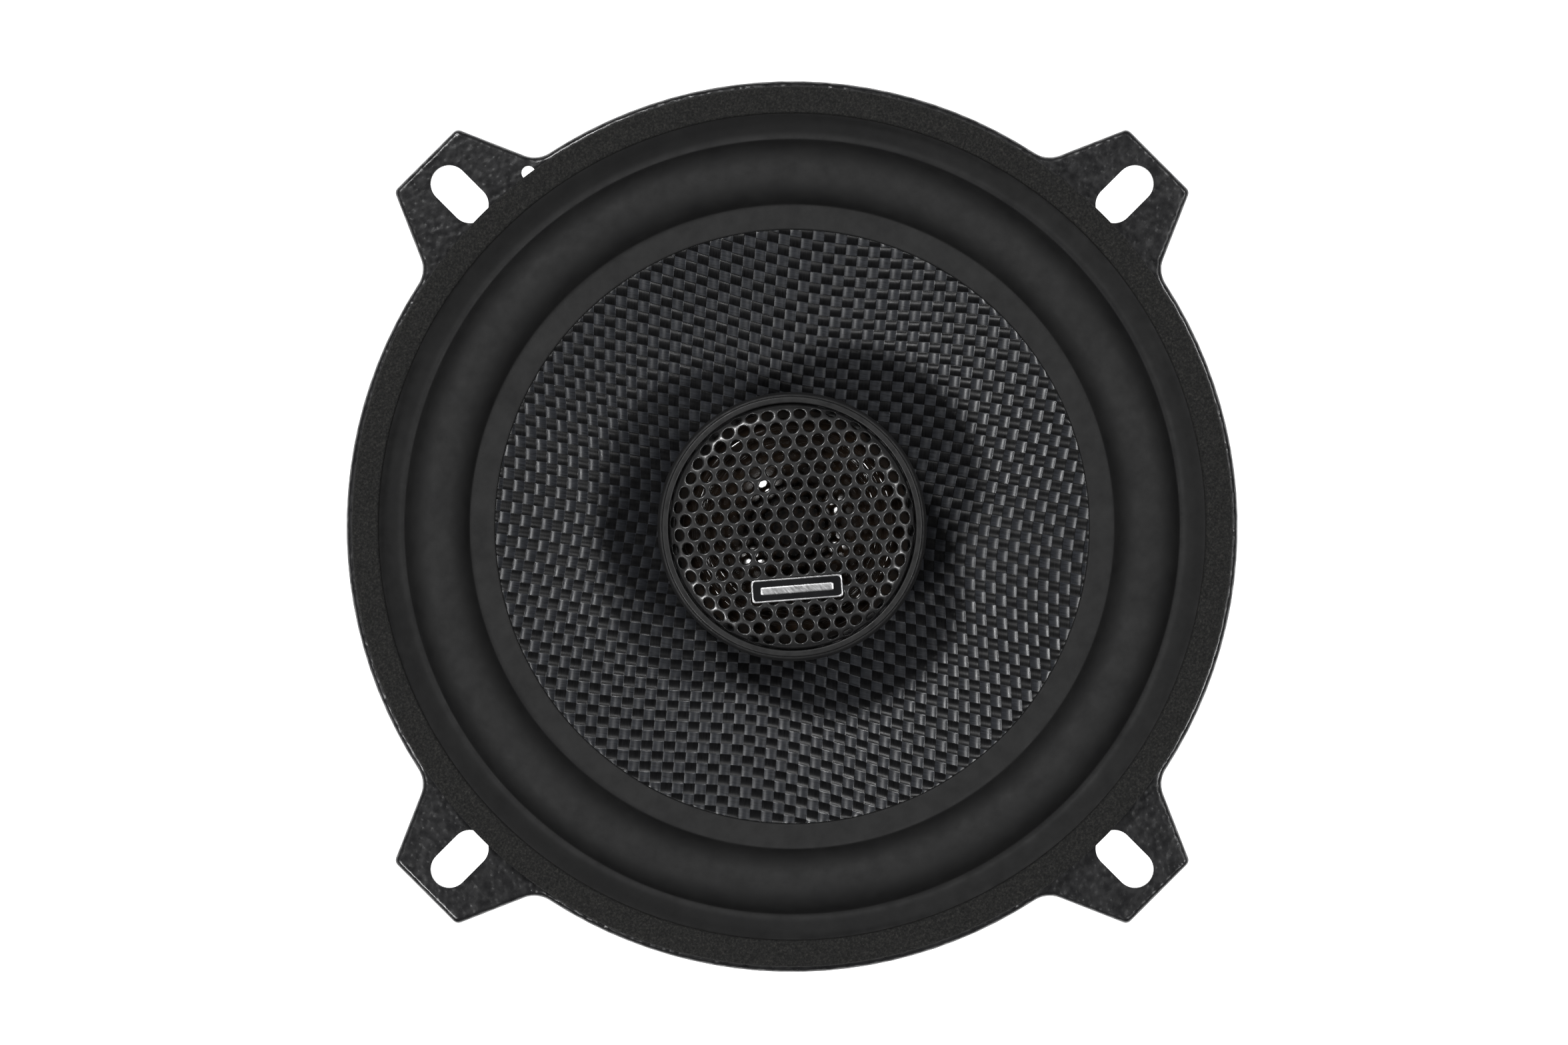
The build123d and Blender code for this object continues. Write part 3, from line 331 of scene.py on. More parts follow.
def fibre(name, tow_angle, shine, dark, light):
    """One direction's tows of the woven cone: parallel black filaments under clear lacquer.
    The highlight spreads across the filaments."""
    p = Paint(name, light, 0.36, Anisotropic=0.7, Specular_IOR_Level=shine)
    across = tow_angle + math.pi / 2
    tangent = p.node("ShaderNodeCombineXYZ", {0: math.cos(across), 1: math.sin(across), 2: 0.0})
    p.links.new(tangent.outputs[0], p.shader.inputs["Tangent"])
    turn = {"Vector": p.place, "Angle": -tow_angle}
    turned = p.node("ShaderNodeVectorRotate", turn, rotation_type="Z_AXIS")
    filaments = p.noise(1.0, 2, 0.6, p.squeezed(FILAMENTS, turned.outputs[0]))
    p.colour(filaments, [(0.3, dark), (0.66, light)])
    p.rough(p.noise(700, 3), [(0.3, 0.3), (0.75, 0.46)])
    p.bump(filaments, 0.3, 0.025)
    return p.material


def moulded(name, colour, roughness, grain=2400, depth=0.03, coat=0.0):
    """Injection-moulded plastic with a fine spark-eroded texture."""
    p = Paint(name, colour, roughness, Coat_Weight=coat, Coat_Roughness=0.08)
    lighter = tuple(1.5 * c + 0.004 for c in colour)
    p.colour(p.noise(260, 4), [(0.3, colour), (0.8, lighter)])
    p.rough(p.noise(700, 4), [(0.3, roughness * 0.8), (0.75, min(1.0, roughness * 1.25))])
    p.bump(p.noise(grain, 3), 0.3, depth)
    return p.material


def grille_paint():
    """Black enamel on the perforated sheet, thin and glossy enough to light up its holes' rims."""
    p = Paint("grille_enamel", (0.01, 0.01, 0.0105), 0.4, Coat_Weight=0.8, Coat_Roughness=0.2)
    p.colour(p.noise(350, 4), [(0.3, (0.007, 0.007, 0.0073)), (0.75, (0.014, 0.014, 0.0145))])
    p.rough(p.noise(1500, 3), [(0.3, 0.34), (0.75, 0.5)])
    p.bump(p.noise(2200, 3), 0.2, 0.03)
    return p.material


def metal(name, colour, roughness, streak=None, tint=None):
    """Plated or bare metal. streak stretches the grain by axis; tint is a second colour in patches."""
    p = Paint(name, colour, roughness, metallic=1.0)
    other = tint or tuple(0.8 * c for c in colour)
    p.colour(p.noise(140, 5), [(0.35, colour), (0.75, other)])
    place = p.squeezed(streak) if streak else None
    grain = p.noise(1.0 if streak else 2600, 3, 0.6, place)
    p.rough(grain, [(0.25, roughness * 0.75), (0.75, min(1.0, roughness * 1.4))])
    p.bump(grain, 0.2, 0.02)
    return p.material


RING_TURN = 9000.0  # radians per metre: a lathe ring every 0.7 mm


def turned_metal(name, colour, roughness):
    """Zinc-plated steel with faint rings from the lathe and cloudy passivation."""
    p = Paint(name, colour, roughness, metallic=1.0)
    rings = p.maths("SINE", p.maths("MULTIPLY", radius_of(p), RING_TURN))
    warmer = (colour[0] * 0.92, colour[1] * 0.86, colour[2] * 0.72)
    p.colour(p.noise(90, 5), [(0.3, colour), (0.7, warmer)])
    p.rough(p.noise(600, 4), [(0.3, roughness * 0.8), (0.75, roughness * 1.4)])
    p.bump(rings, 0.12, 0.01)
    p.bump(p.noise(1800, 3), 0.15, 0.02)
    return p.material


def ferrite():
    """Sintered ferrite: dark grey, ground, with pale specks."""
    p = Paint("ferrite", (0.045, 0.045, 0.047), 0.55, Specular_IOR_Level=0.6)
    tones = [(0.3, (0.028, 0.028, 0.03)), (0.62, (0.055, 0.055, 0.057)), (0.8, 0.1)]
    p.colour(p.noise(700, 6, 0.7), tones)
    p.rough(p.noise(300, 4), [(0.3, 0.4), (0.75, 0.7)])
    p.bump(p.noise(1600, 5, 0.7), 0.5, 0.05)
    p.bump(p.cells(420), 0.15, 0.08)
    return p.material


CLOTH_PITCH = 0.75 * MM  # from one thread of the spider's cloth to the next


def spider_cotton():
    """Plain-woven cotton: two sets of round threads crossing at right angles."""
    dark, light = (0.16, 0.09, 0.025), (0.5, 0.33, 0.12)
    p = Paint("spider_cloth", light, 0.85, Sheen_Weight=0.2)
    parts = p.node("ShaderNodeSeparateXYZ", {"Vector": p.place})
    turns = math.pi / CLOTH_PITCH
    across = p.maths("SINE", p.maths("MULTIPLY", parts.outputs[0], turns))
    along = p.maths("SINE", p.maths("MULTIPLY", parts.outputs[1], turns))
    threads = p.maths("MULTIPLY", across, along)
    # the colour darkens along the seams between the threads: painted shade, times a random tone
    thread_seam_shade = p.maths("MULTIPLY", p.maths("ABSOLUTE", across), p.maths("ABSOLUTE", along))
    both = p.maths("MULTIPLY", thread_seam_shade, p.maths("ADD", p.noise(110, 5), 0.45))
    p.colour(both, [(0.05, dark), (0.6, light)])
    p.bump(threads, 0.6, 0.12)
    p.bump(p.noise(3000, 3), 0.3, 0.03)
    return p.material


def laminate():
    """Phenolic paper laminate: brown, with pressed fibres and a sawn edge."""
    p = Paint("phenolic_laminate", (0.25, 0.11, 0.04), 0.45)
    fibres = p.noise(1.0, 5, 0.65, p.squeezed((900, 240, 3000)))
    tones = [(0.3, (0.16, 0.06, 0.022)), (0.55, (0.27, 0.12, 0.045)), (0.8, (0.38, 0.19, 0.08))]
    p.colour(fibres, tones)
    p.rough(fibres, [(0.3, 0.38), (0.75, 0.6)])
    p.bump(fibres, 0.25, 0.04)
    return p.material


def felt():
    """Damping felt: matted grey wool."""
    p = Paint("wool_felt", (0.07, 0.07, 0.07), 0.95, Sheen_Weight=0.5)
    p.colour(p.noise(2300, 5, 0.75), [(0.3, 0.03), (0.8, (0.15, 0.15, 0.145))])
    p.bump(p.noise(1900, 5, 0.75), 0.8, 0.15)
    return p.material


def dome_film():
    """Polymer film dome, dark bronze and glossy, formed over a mould."""
    p = Paint("dome_film", (0.016, 0.012, 0.009), 0.14, Coat_Weight=0.6, Coat_Roughness=0.05)
    p.colour(p.noise(160, 4), [(0.3, (0.009, 0.007, 0.006)), (0.75, (0.026, 0.017, 0.011))])
    p.rough(p.noise(500, 3), [(0.3, 0.1), (0.75, 0.2)])
    p.bump(p.noise(900, 2), 0.08, 0.03)
    return p.material


WIRE_TURN = 0.25 * MM  # from one turn of a winding to the next


def wire_winding():
    """Enamelled copper wire laid in close turns."""
    p = Paint("copper_winding", (0.62, 0.22, 0.08), 0.28, metallic=1.0)
    height = p.node("ShaderNodeSeparateXYZ", {"Vector": p.place}).outputs[2]
    turns = p.maths("SINE", p.maths("MULTIPLY", height, 2 * math.pi / WIRE_TURN))
    # the colour darkens in the grooves between the turns: painted shade
    p.colour(turns, [(0.0, (0.2, 0.05, 0.02)), (0.6, (0.68, 0.26, 0.1))])
    p.bump(turns, 0.8, 0.1)
    return p.material


def insulation(name, colour):
    """Soft wire insulation."""
    p = Paint(name, colour, 0.42, Coat_Weight=0.15)
    p.colour(p.noise(500, 4), [(0.3, tuple(0.75 * c for c in colour)), (0.75, colour)])
    p.bump(p.noise(1500, 3), 0.2, 0.03)
    return p.material


def glue():
    """A bead of hot-melt glue, a little translucent."""
    spread = (0.001, 0.0007, 0.0004)
    p = Paint("hot_glue", (0.62, 0.5, 0.3), 0.35, Subsurface_Weight=0.3, Subsurface_Radius=spread)
    p.colour(p.noise(300, 4), [(0.3, (0.5, 0.38, 0.2)), (0.75, (0.7, 0.6, 0.42))])
    p.bump(p.noise(700, 3), 0.5, 0.15)
    return p.material


# the cone's cloth is skewed: weft tows fall to the picture's right, warp tows lean the same way;
# the weft is painted lighter and shinier than the warp, as in the photo, though both are one fibre: painted
# highlight on the weft, painted shade on the warp
WEFT_TURN = PICTURE_TURN - math.radians(9.5)
WARP_TURN = PICTURE_TURN + math.radians(86)
WEFT_WAY = Vector((math.cos(WEFT_TURN), math.sin(WEFT_TURN)))
WARP_WAY = Vector((math.cos(WARP_TURN), math.sin(WARP_TURN)))
M = {
    "enamel": painted_steel(),
    "gasket": closed_cell(),
    "rubber": surround_rubber(),
    # next two lines: the weft's lighter tones and higher shine are painted highlight, the warp's darker
    # tones and lower shine are painted shade
    "weft": fibre("woven_fibre_weft_painted_highlight", WEFT_TURN, 0.8, (0.0105, 0.011, 0.0125), (0.043, 0.046, 0.053)),
    "warp": fibre("woven_fibre_warp_painted_shade", WARP_TURN, 0.35, (0.003, 0.003, 0.003), (0.011, 0.011, 0.012)),
    "bezel": moulded("bezel_plastic", (0.0035, 0.0035, 0.0037), 0.46, 3000, 0.04),
    "cup": moulded("tweeter_housing", (0.007, 0.007, 0.0075), 0.6, 2600, 0.05),
    "nylon": moulded("black_nylon", (0.014, 0.014, 0.014), 0.55, 2200, 0.05),
    "grille": grille_paint(),
    "steel": metal("zinc_bright", (0.5, 0.51, 0.5), 0.25),
    "zinc": turned_metal("zinc_turned", (0.4, 0.405, 0.4), 0.32),
    "nickel": metal("nickel_plate", (0.66, 0.62, 0.56), 0.16),
    "tin": metal("tinned_brass", (0.72, 0.69, 0.6), 0.28, (400, 5000, 2500), (0.62, 0.52, 0.32)),
    "wire": metal("tinned_wire", (0.78, 0.77, 0.74), 0.25),
    "solder": metal("solder", (0.7, 0.7, 0.7), 0.3),
    "ferrite": ferrite(),
    "spider": spider_cotton(),
    "laminate": laminate(),
    "felt": felt(),
    "dome": dome_film(),
    "copper": wire_winding(),
    "former": moulded("polyimide_former", (0.32, 0.13, 0.03), 0.3, 1500, 0.02),
    "red": insulation("red_insulation", (0.45, 0.02, 0.015)),
    "black": insulation("black_insulation", (0.015, 0.015, 0.015)),
    "sleeve": moulded("capacitor_sleeve", (0.012, 0.03, 0.12), 0.25, 1200, 0.02, 0.4),
    "badge": moulded("badge_gloss", (0.008, 0.008, 0.009), 0.12, 900, 0.01, 0.8),
    "silver": metal("badge_silver", (0.9, 0.9, 0.91), 0.34, (5000, 700, 700)),
    "glue": glue(),
    "tinsel": metal("tinsel_braid", (0.75, 0.6, 0.42), 0.3),
}

FINISHED_NODES = {
    "enamel": ["basket"],
    "steel": [
        "basket_rivets", "post_washer", "post_nut",
        "tweeter_pot", "tweeter_pole_plate", "board_rivet",
    ],
    "zinc": ["top_plate", "yoke"],
    "ferrite": ["magnet"],
    "nylon": ["tweeter_post", "tweeter_carrier_ring"],
    "nickel": ["tweeter_magnet"],
    "felt": ["tweeter_damping_felt"],
    "tin": ["tweeter_lugs", "terminal_positive", "terminal_negative", "terminal_rivets"],
    "laminate": ["terminal_board"],
    "red": ["tweeter_lead_positive"],
    "black": ["tweeter_lead_negative", "splice_sleeve"],
    "glue": ["capacitor_glue"],
    "wire": ["capacitor_leads"],
    "former": ["voice_coil_former"],
    "copper": ["voice_coil_winding", "coil_lead_outs", "tweeter_voice_coil"],
    "solder": ["coil_solder_pads"],
    "cup": ["tweeter_cup"],
    "bezel": ["tweeter_bezel"],
    "grille": ["tweeter_grille"],
    "badge": ["badge_plate"],
    "gasket": ["mounting_gasket"],
    "rubber": ["surround"],
    "spider": ["spider"],
    "weft": ["cone"],
    "dome": ["tweeter_diaphragm"],
    "sleeve": ["crossover_capacitor"],
    "tinsel": ["tinsel_lead_positive", "tinsel_lead_negative"],
}
for finish_name, node_names in FINISHED_NODES.items():
    for node_name in node_names:
        for material_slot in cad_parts[node_name].material_slots:
            material_slot.material = M[finish_name]


# === sizes taken from the frame ===
def top_of(node):
    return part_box(node)[1].z / MM


def bottom_of(node):
    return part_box(node)[0].z / MM


def radius_in_frame(node):
    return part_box(node)[1].x / MM


FLANGE_TOP = top_of("basket")


# === gasket ===
GASKET_IN_R = 60.1
GASKET_EDGE = 0.45  # how far its edges are rounded
GRAIN_STEP = 0.22  # spacing of the points on its section
GRAIN_DEPTH = 0.045
WAVE_DEPTH = 0.03  # of the slow unevenness along the ring


def divided(outline, step):
    """The closed outline with points added, about a step apart."""
    points = []
    for a, b in zip(outline, outline[1:] + outline[:1]):
        count = max(1, round(math.dist(a, b) / step))
        points += [tuple(Vector(a).lerp(Vector(b), k / count)) for k in range(count)]
    return points


def make_gasket():
    """The flat ring on the flange, its front face grainy."""
    low, high = bottom_of("mounting_gasket"), top_of("mounting_gasket")
    outer = radius_in_frame("mounting_gasket")
    section = [(GASKET_IN_R, low), (outer, low), (outer, high), (GASKET_IN_R, high)]
    outline = divided(round_corners(section, GASKET_EDGE, 4), GRAIN_STEP)

    def grain(x, y, z):
        place = Vector((x, y, z))
        depth = GRAIN_DEPTH * (noise.noise(place * 2.6) + 0.6 * noise.noise(place * 5.5) - 0.8)
        wave = WAVE_DEPTH * noise.noise(Vector((x, y, 0)) * 0.12)
        return (x, y, z + (depth + wave if z > (low + high) / 2 else 0))

    piece = lathe("mounting_gasket_ring", outline, M["gasket"], 1500, grain)
    finish_piece(piece, FRAME, "gasket_foam", "mounting_gasket")


# === surround ===
ROLL_OUT, ROLL_IN, ROLL_RISE = 56.3, 47.3, 3.75
SURROUND_T = 0.48
SURROUND_FOOT = 0.76  # height of the sheet's middle on either side of the roll
SURROUND_OVER_FLANGE = 0.31
SURROUND_OUT_R, SEAT_TOP_R, SEAT_LOW_R, SURROUND_IN_R = 63.7, 60.45, 57.35, 43.5


def arc_points(start, middle_height, end, count=24):
    """An arc of a circle from start to end, both at one height, rising by middle_height."""
    half = abs(start[0] - end[0]) / 2
    radius = (half**2 + middle_height**2) / (2 * middle_height)
    centre = ((start[0] + end[0]) / 2, start[1] + middle_height - radius)
    angle = math.asin(min(1.0, half / radius))
    if middle_height > radius:
        angle = math.pi - angle
    side = 1 if start[0] > end[0] else -1
    spread = [angle * (1 - 2 * k / count) for k in range(count + 1)]
    return [(centre[0] + side * radius * math.sin(a), centre[1] + radius * math.cos(a)) for a in spread]


def make_surround():
    """The rubber sheet: glued edge on the flange, sloped seat, half roll and lip on the cone."""
    foot, edge = SURROUND_FOOT, FLANGE_TOP + SURROUND_OVER_FLANGE
    roll = arc_points((ROLL_OUT, foot), ROLL_RISE, (ROLL_IN, foot))
    line = [(SURROUND_OUT_R, edge), (SEAT_TOP_R, edge), (SEAT_LOW_R, foot)] + roll + [(SURROUND_IN_R, foot)]
    outline = thicken(soften(line, 0.2, 0.4), SURROUND_T)
    piece = lathe("surround_rubber", outline, M["rubber"], 360)
    radial_blend(piece)
    finish_piece(piece, None, "surround_rubber", "surround")


# === woven cone ===
CONE_RIM_R = radius_in_frame("cone")
CONE_RIM_TOP = top_of("cone")
CONE_NECK_R, CONE_NECK_Z = 13.1, -15.0
CONE_SIDE_R = 43.4  # where the flat rim ends and the cone's side starts
CONE_SAG = 0.9  # how far the middle of the cone's side lies below a straight line
CONE_T = 0.42
CONE_SUNK = 0.3  # share of the crown by which the cloth's middle lies below the cone's front
CONE_SWAY, CONE_SWAY_SCALE = 0.03, 0.45  # slow unevenness of the cloth: height, and cycles per mm
MERGE = 0.03  # points of the weave nearer than this become one
BACK_RINGS, BACK_SIDES = 10, 120
TOW_W = (1.53, 1.50)  # width of a weft tow's crossing and of a warp tow's, seen from the front
TOW_STEPS = (0.05, 0.22, 0.5, 0.78, 0.95)  # where the mesh's lines cross a tow
CROWN = 0.22  # how far a tow stands out at a crossing
EDGE = 0.8  # share of that height that a tow's side edge keeps
FORMING = 0.09  # most that a tow bows outwards, as a share, where the flat cloth became a cone
FORMING_SPREAD = 0.42  # slope off the cloth's own axis at which that bowing sets in


def cone_height(r):
    """Height of the cone's front at radius r: flat rim, then the arc of its side."""
    if r >= CONE_SIDE_R:
        return CONE_RIM_TOP
    t = (r - CONE_NECK_R) / (CONE_SIDE_R - CONE_NECK_R)
    straight = CONE_NECK_Z + t * (CONE_RIM_TOP - CONE_NECK_Z)
    return straight - 4 * CONE_SAG * t * (1 - t)


def bowed(along, across):
    """How much further out a tow lies, away from the line where it crosses the cone's middle."""
    away = across / (FORMING_SPREAD * along) if abs(along) > 1e-6 else 1e3
    return 1 + FORMING * (1 - math.exp(-0.5 * away * away))


def tow_place(u, v):
    """Where the crossing (u, v) of the flat cloth, counted in tows, lies on the pressed cone."""
    a0, b0 = u * TOW_W[0], v * TOW_W[1]
    a, b = a0, b0
    for _ in range(4):
        a, b = a0 * bowed(a, b), b0 * bowed(b, a)
    return WEFT_WAY * a + WARP_WAY * b


def tow_lift(s, t, weft_on_top):
    """Height of the weave inside one crossing, s along the weft and t along the warp, 0 to 1."""
    along, across = (s, t) if weft_on_top else (t, s)
    crown = math.sin(math.pi * along) ** 0.8
    side = EDGE + (1 - EDGE) * (1 - (2 * across - 1) ** 4)
    return CROWN * crown * side


def make_cone():
    """The woven front, crossing by crossing: each face belongs to the tow that lies on top there."""
    inner, outer = CONE_NECK_R + 0.1, CONE_RIM_R
    sunk = CONE_SUNK * CROWN
    steps = len(TOW_STEPS)
    reach = int(1.15 * outer / min(TOW_W)) + 1
    lines = [(k, f) for k in range(-reach, reach) for f in TOW_STEPS]
    index, places, verts, faces, slots, wall = {}, {}, [], [], [], []

    def place(i, j):
        if (i, j) not in places:
            (cell_u, s), (cell_v, t) = lines[i], lines[j]
            flat = tow_place(cell_u + s, cell_v + t)
            places[i, j] = (flat, tow_lift(s, t, (cell_u + cell_v) % 2 == 0))
        return places[i, j]

    def corner(i, j):
        if (i, j) not in index:
            index[i, j] = len(verts)
            verts.append(place(i, j))
        return index[i, j]

    for i in range(len(lines) - 1):
        for j in range(len(lines) - 1):
            rough = (Vector(place(i, j)[0]) + place(i + 1, j + 1)[0]) / 2
            if inner <= rough.length <= outer:
                faces.append((corner(i, j), corner(i + 1, j), corner(i + 1, j + 1), corner(i, j + 1)))
                slots.append((lines[i][0] + lines[j][0]) % 2)
                wall.append(i % steps == steps - 1 or j % steps == steps - 1)
    edges = [tuple(sorted(pair)) for face in faces for pair in zip(face, face[1:] + face[:1])]
    border = {p for edge, count in Counter(edges).items() if count == 1 for p in edge}
    front = []
    for k, (flat, lift) in enumerate(verts):
        r = flat.length
        if k in border:
            wanted = inner if r < (inner + outer) / 2 else outer
            flat = flat * (wanted / r)
            front.append((flat.x, flat.y, cone_height(wanted) - sunk))
            continue
        fade = max(0.0, min(1.0, (r - inner) / 0.5, (outer - r) / 0.4))
        sway = CONE_SWAY * noise.noise(Vector((flat.x, flat.y, 0)) * CONE_SWAY_SCALE)
        front.append((flat.x, flat.y, cone_height(r) + fade * (lift + sway) - sunk))
    return close_cone(front, faces, slots, wall, inner, outer)


def close_cone(front, faces, slots, wall, inner, outer):
    """Closes the woven front with a smooth back, so that the cone is one solid sheet."""
    piece = add_mesh("woven_cone", front, faces, [M["weft"], M["warp"]], slots)
    work = bmesh.new()
    work.from_mesh(piece.data)
    is_wall = work.faces.layers.int.new("wall")
    for face, steep in zip(work.faces, wall):
        face[is_wall] = int(steep)
    bmesh.ops.remove_doubles(work, verts=work.verts, dist=MERGE * MM)
    borders = [e for e in work.edges if len(e.link_faces) == 1]
    rim = sorted({v for e in borders for v in e.verts}, key=lambda v: v.index)
    back_of = {}
    for v in rim:
        back_of[v] = work.verts.new(v.co - Vector((0, 0, CONE_T * MM)))
    for e in borders:
        a, b = e.verts
        work.faces.new((a, b, back_of[b], back_of[a]))[is_wall] = 2
    points = [back_of[v] for v in rim]
    for ring in range(1, BACK_RINGS):
        r = inner + (outer - inner) * ring / BACK_RINGS
        for s in range(BACK_SIDES):
            angle = 2 * math.pi * (s + 0.5 * (ring % 2)) / BACK_SIDES
            place = (r * math.cos(angle) * MM, r * math.sin(angle) * MM, (cone_height(r) - CONE_T) * MM)
            points.append(work.verts.new(place))
    flat = [Vector((v.co.x, v.co.y)) for v in points]
    order = {v: k for k, v in enumerate(points)}
    edges = [(order[back_of[e.verts[0]]], order[back_of[e.verts[1]]]) for e in borders]
    _, _, triangles, origins, _, _ = delaunay_2d_cdt(flat, edges, [], 0, 1e-9)
    for triangle in triangles:
        corners = [points[origins[k][0]] for k in triangle]
        middle = sum((c.co.to_2d() for c in corners), Vector((0, 0))) / 3
        if middle.length > inner * MM and len(set(corners)) == 3:
            work.faces.new(corners)[is_wall] = 2
    bmesh.ops.recalc_face_normals(work, faces=work.faces)
    # the steep gaps between tows don't bend the shading of the tows beside them
    work.verts.index_update()
    shading = []
    for v in work.verts:
        kept = [f for f in v.link_faces if f[is_wall] == 0] or list(v.link_faces)
        shading.append(sum((f.normal * f.calc_area() for f in kept), Vector()).normalized())
    work.faces.layers.int.remove(is_wall)
    work.to_mesh(piece.data)
    work.free()
    piece.data.shade_smooth()
    piece.data.normals_split_custom_set_from_vertices(shading)
    finish_piece(piece, CONE, "woven_fibre", "cone")


def make_cone_collar():
    """Glued joint between the cone's neck and the coil's former."""
    inner, top, foot = 13.02, CONE_NECK_Z + 0.55, -16.4
    fillet = [(13.75, -15.4), (14.3, -14.95), (14.25, -14.55), (13.5, -14.7)]
    outline = [(inner, top), (inner, foot), (13.6, foot)] + fillet
    piece = lathe("cone_neck_collar", round_corners(outline, 0.2, 4), M["rubber"], 160)
    finish_piece(piece, CONE, "woven_fibre")


# === spider ===
SPIDER_FOOT = -17.22  # height of the middle of its cloth
SPIDER_OUT_R, SPIDER_FLAT_R, SPIDER_COLLAR_R, SPIDER_IN_R = 36.4, 32.0, 16.0, 13.1
SPIDER_WAVES, SPIDER_RISE, SPIDER_T = 8, 0.78, 0.42
WAVE_STEPS = 8


def make_spider():
    """The corrugated cloth disc that centres the coil."""
    wave = (SPIDER_FLAT_R - SPIDER_COLLAR_R) / SPIDER_WAVES
    line = [(SPIDER_OUT_R, SPIDER_FOOT), (SPIDER_FLAT_R, SPIDER_FOOT)]
    for k in range(SPIDER_WAVES):
        for q in range(1, WAVE_STEPS + 1):
            t = q / WAVE_STEPS
            rise = SPIDER_RISE * math.sin(math.pi * t) * (1 if k % 2 else -1)
            line.append((SPIDER_FLAT_R - (k + t) * wave, SPIDER_FOOT + rise))
    line.append((SPIDER_IN_R, SPIDER_FOOT))
    outline = thicken(soften(line, 0.14, 0.16), SPIDER_T)
    piece = lathe("spider_cloth", outline, M["spider"], 240)
    radial_blend(piece)
    finish_piece(piece, None, "spider_cloth", "spider")


# === tweeter ===
BEZEL_IN_R, BEZEL_SPIGOT_R, BEZEL_MOUTH_R = 17.0, 18.15, 17.9
BEZEL_SHOULDER, BEZEL_LEDGE = 4.62, 6.2  # heights of its shoulder on the cup and its ledge for the grille


def make_bezel():
    """The ring that clips into the cup and holds the grille."""
    low, top = bottom_of("tweeter_bezel"), top_of("tweeter_bezel")
    outer = radius_in_frame("tweeter_bezel")
    points = [
        (BEZEL_IN_R, low), (BEZEL_SPIGOT_R, low), (BEZEL_SPIGOT_R, BEZEL_SHOULDER), (outer, BEZEL_SHOULDER),
        (outer, top), (BEZEL_MOUTH_R, top), (BEZEL_MOUTH_R, BEZEL_LEDGE), (BEZEL_IN_R, BEZEL_LEDGE),
    ]
    radii = [0.1, 0.1, 0.05, 0.15, 0.32, 0.28, 0.08, 0.1]
    piece = lathe("tweeter_bezel_ring", round_corners(points, radii, 6), M["bezel"], 256)
    finish_piece(piece, FRAME, "gloss_black_plastic", "tweeter_bezel")


CUP_HOLE_R, CUP_FLOOR_R, CUP_WALL, CUP_FLOOR_T = 5.5, 14.8, 1.2, 1.1
CUP_RIB_IN_R, CUP_RIB_OUT_R, CUP_RIB_H = 9.0, 11.0, 1.8
CUP_LEAN = 0.35  # how far the wall's ends lean in


def make_cup():
    """The tweeter's housing: a shallow cup on the post, with a ring rib under the magnet's pot."""
    outer = radius_in_frame("tweeter_cup")
    low, top = bottom_of("tweeter_cup"), top_of("tweeter_cup")
    floor = low + CUP_FLOOR_T
    rib = floor + CUP_RIB_H
    points = [
        (CUP_HOLE_R, low), (CUP_FLOOR_R, low), (outer - CUP_LEAN, -1.3), (outer, 0.4), (outer, top - 0.9),
        (outer - CUP_LEAN, top), (outer - CUP_WALL, top), (outer - CUP_WALL, -0.5),
        (CUP_FLOOR_R - 0.1, floor), (CUP_RIB_OUT_R, floor), (CUP_RIB_OUT_R, rib), (CUP_RIB_IN_R, rib),
        (CUP_RIB_IN_R, floor), (CUP_HOLE_R, floor),
    ]
    radii = [0.2, 1.2, 1.5, 0.8, 0.3, 0.3, 0.1, 0.8, 0.8, 0.1, 0.1, 0.1, 0.1, 0.2]
    piece = lathe("tweeter_housing", round_corners(points, radii, 6), M["cup"], 256)
    finish_piece(piece, FRAME, "black_abs", "tweeter_cup")


GRILLE_TURN = math.radians(-40.5)  # angle of the rows of holes from +X
HOLE_PITCH, HOLE_R, RIM_R, GRILLE_T = 2.36, 0.8, 17.75, 0.45
HOLE_MARGIN = 0.12  # least gap from a hole's rolled rim to the sheet's edge or an extra point
# a hole's rolled rim: how far it stands beyond the hole, and how far it lies below the sheet's front
HOLE_RIM = [(0.27, 0.0), (0.2, 0.012), (0.12, 0.055), (0.05, 0.13), (0.01, 0.23), (0.0, GRILLE_T)]
HOLE_SIDES, RIM_SIDES = 22, 220
# rings of extra points that let the edge curve down: distances from the edge, and points in a ring
EDGE_RINGS, EDGE_RING_POINTS = (0.25, 0.6, 1.0, 1.5), 150
SHOULDER_R = 14.6  # where the flat dome turns down into its edge
SHOULDER_DROP = 1.5  # from there to the edge
CROWN_DROP = 0.55  # from the middle of the dome to the shoulder
GRILLE_TOP = top_of("tweeter_grille")


def pressed(place):
    """Where a point of the flat perforated sheet comes to lie, and its height, once it is pressed."""
    reach = RIM_R - SHOULDER_R
    r = place.length
    if r <= SHOULDER_R:
        return place, GRILLE_TOP - CROWN_DROP * (r / SHOULDER_R) ** 2
    turn = min(math.pi / 2, (r - SHOULDER_R) / reach)
    flat_r = SHOULDER_R + reach * math.sin(turn)
    drop = CROWN_DROP + SHOULDER_DROP * (1 - math.cos(turn))
    return place * (flat_r / r), GRILLE_TOP - drop


def grille_height(r):
    """Height of the grille's front at radius r from its axis."""
    if r <= SHOULDER_R:
        return pressed(Vector((r, 0)))[1]
    turn = math.asin(min(1.0, (r - SHOULDER_R) / (RIM_R - SHOULDER_R)))
    return GRILLE_TOP - CROWN_DROP - SHOULDER_DROP * (1 - math.cos(turn))


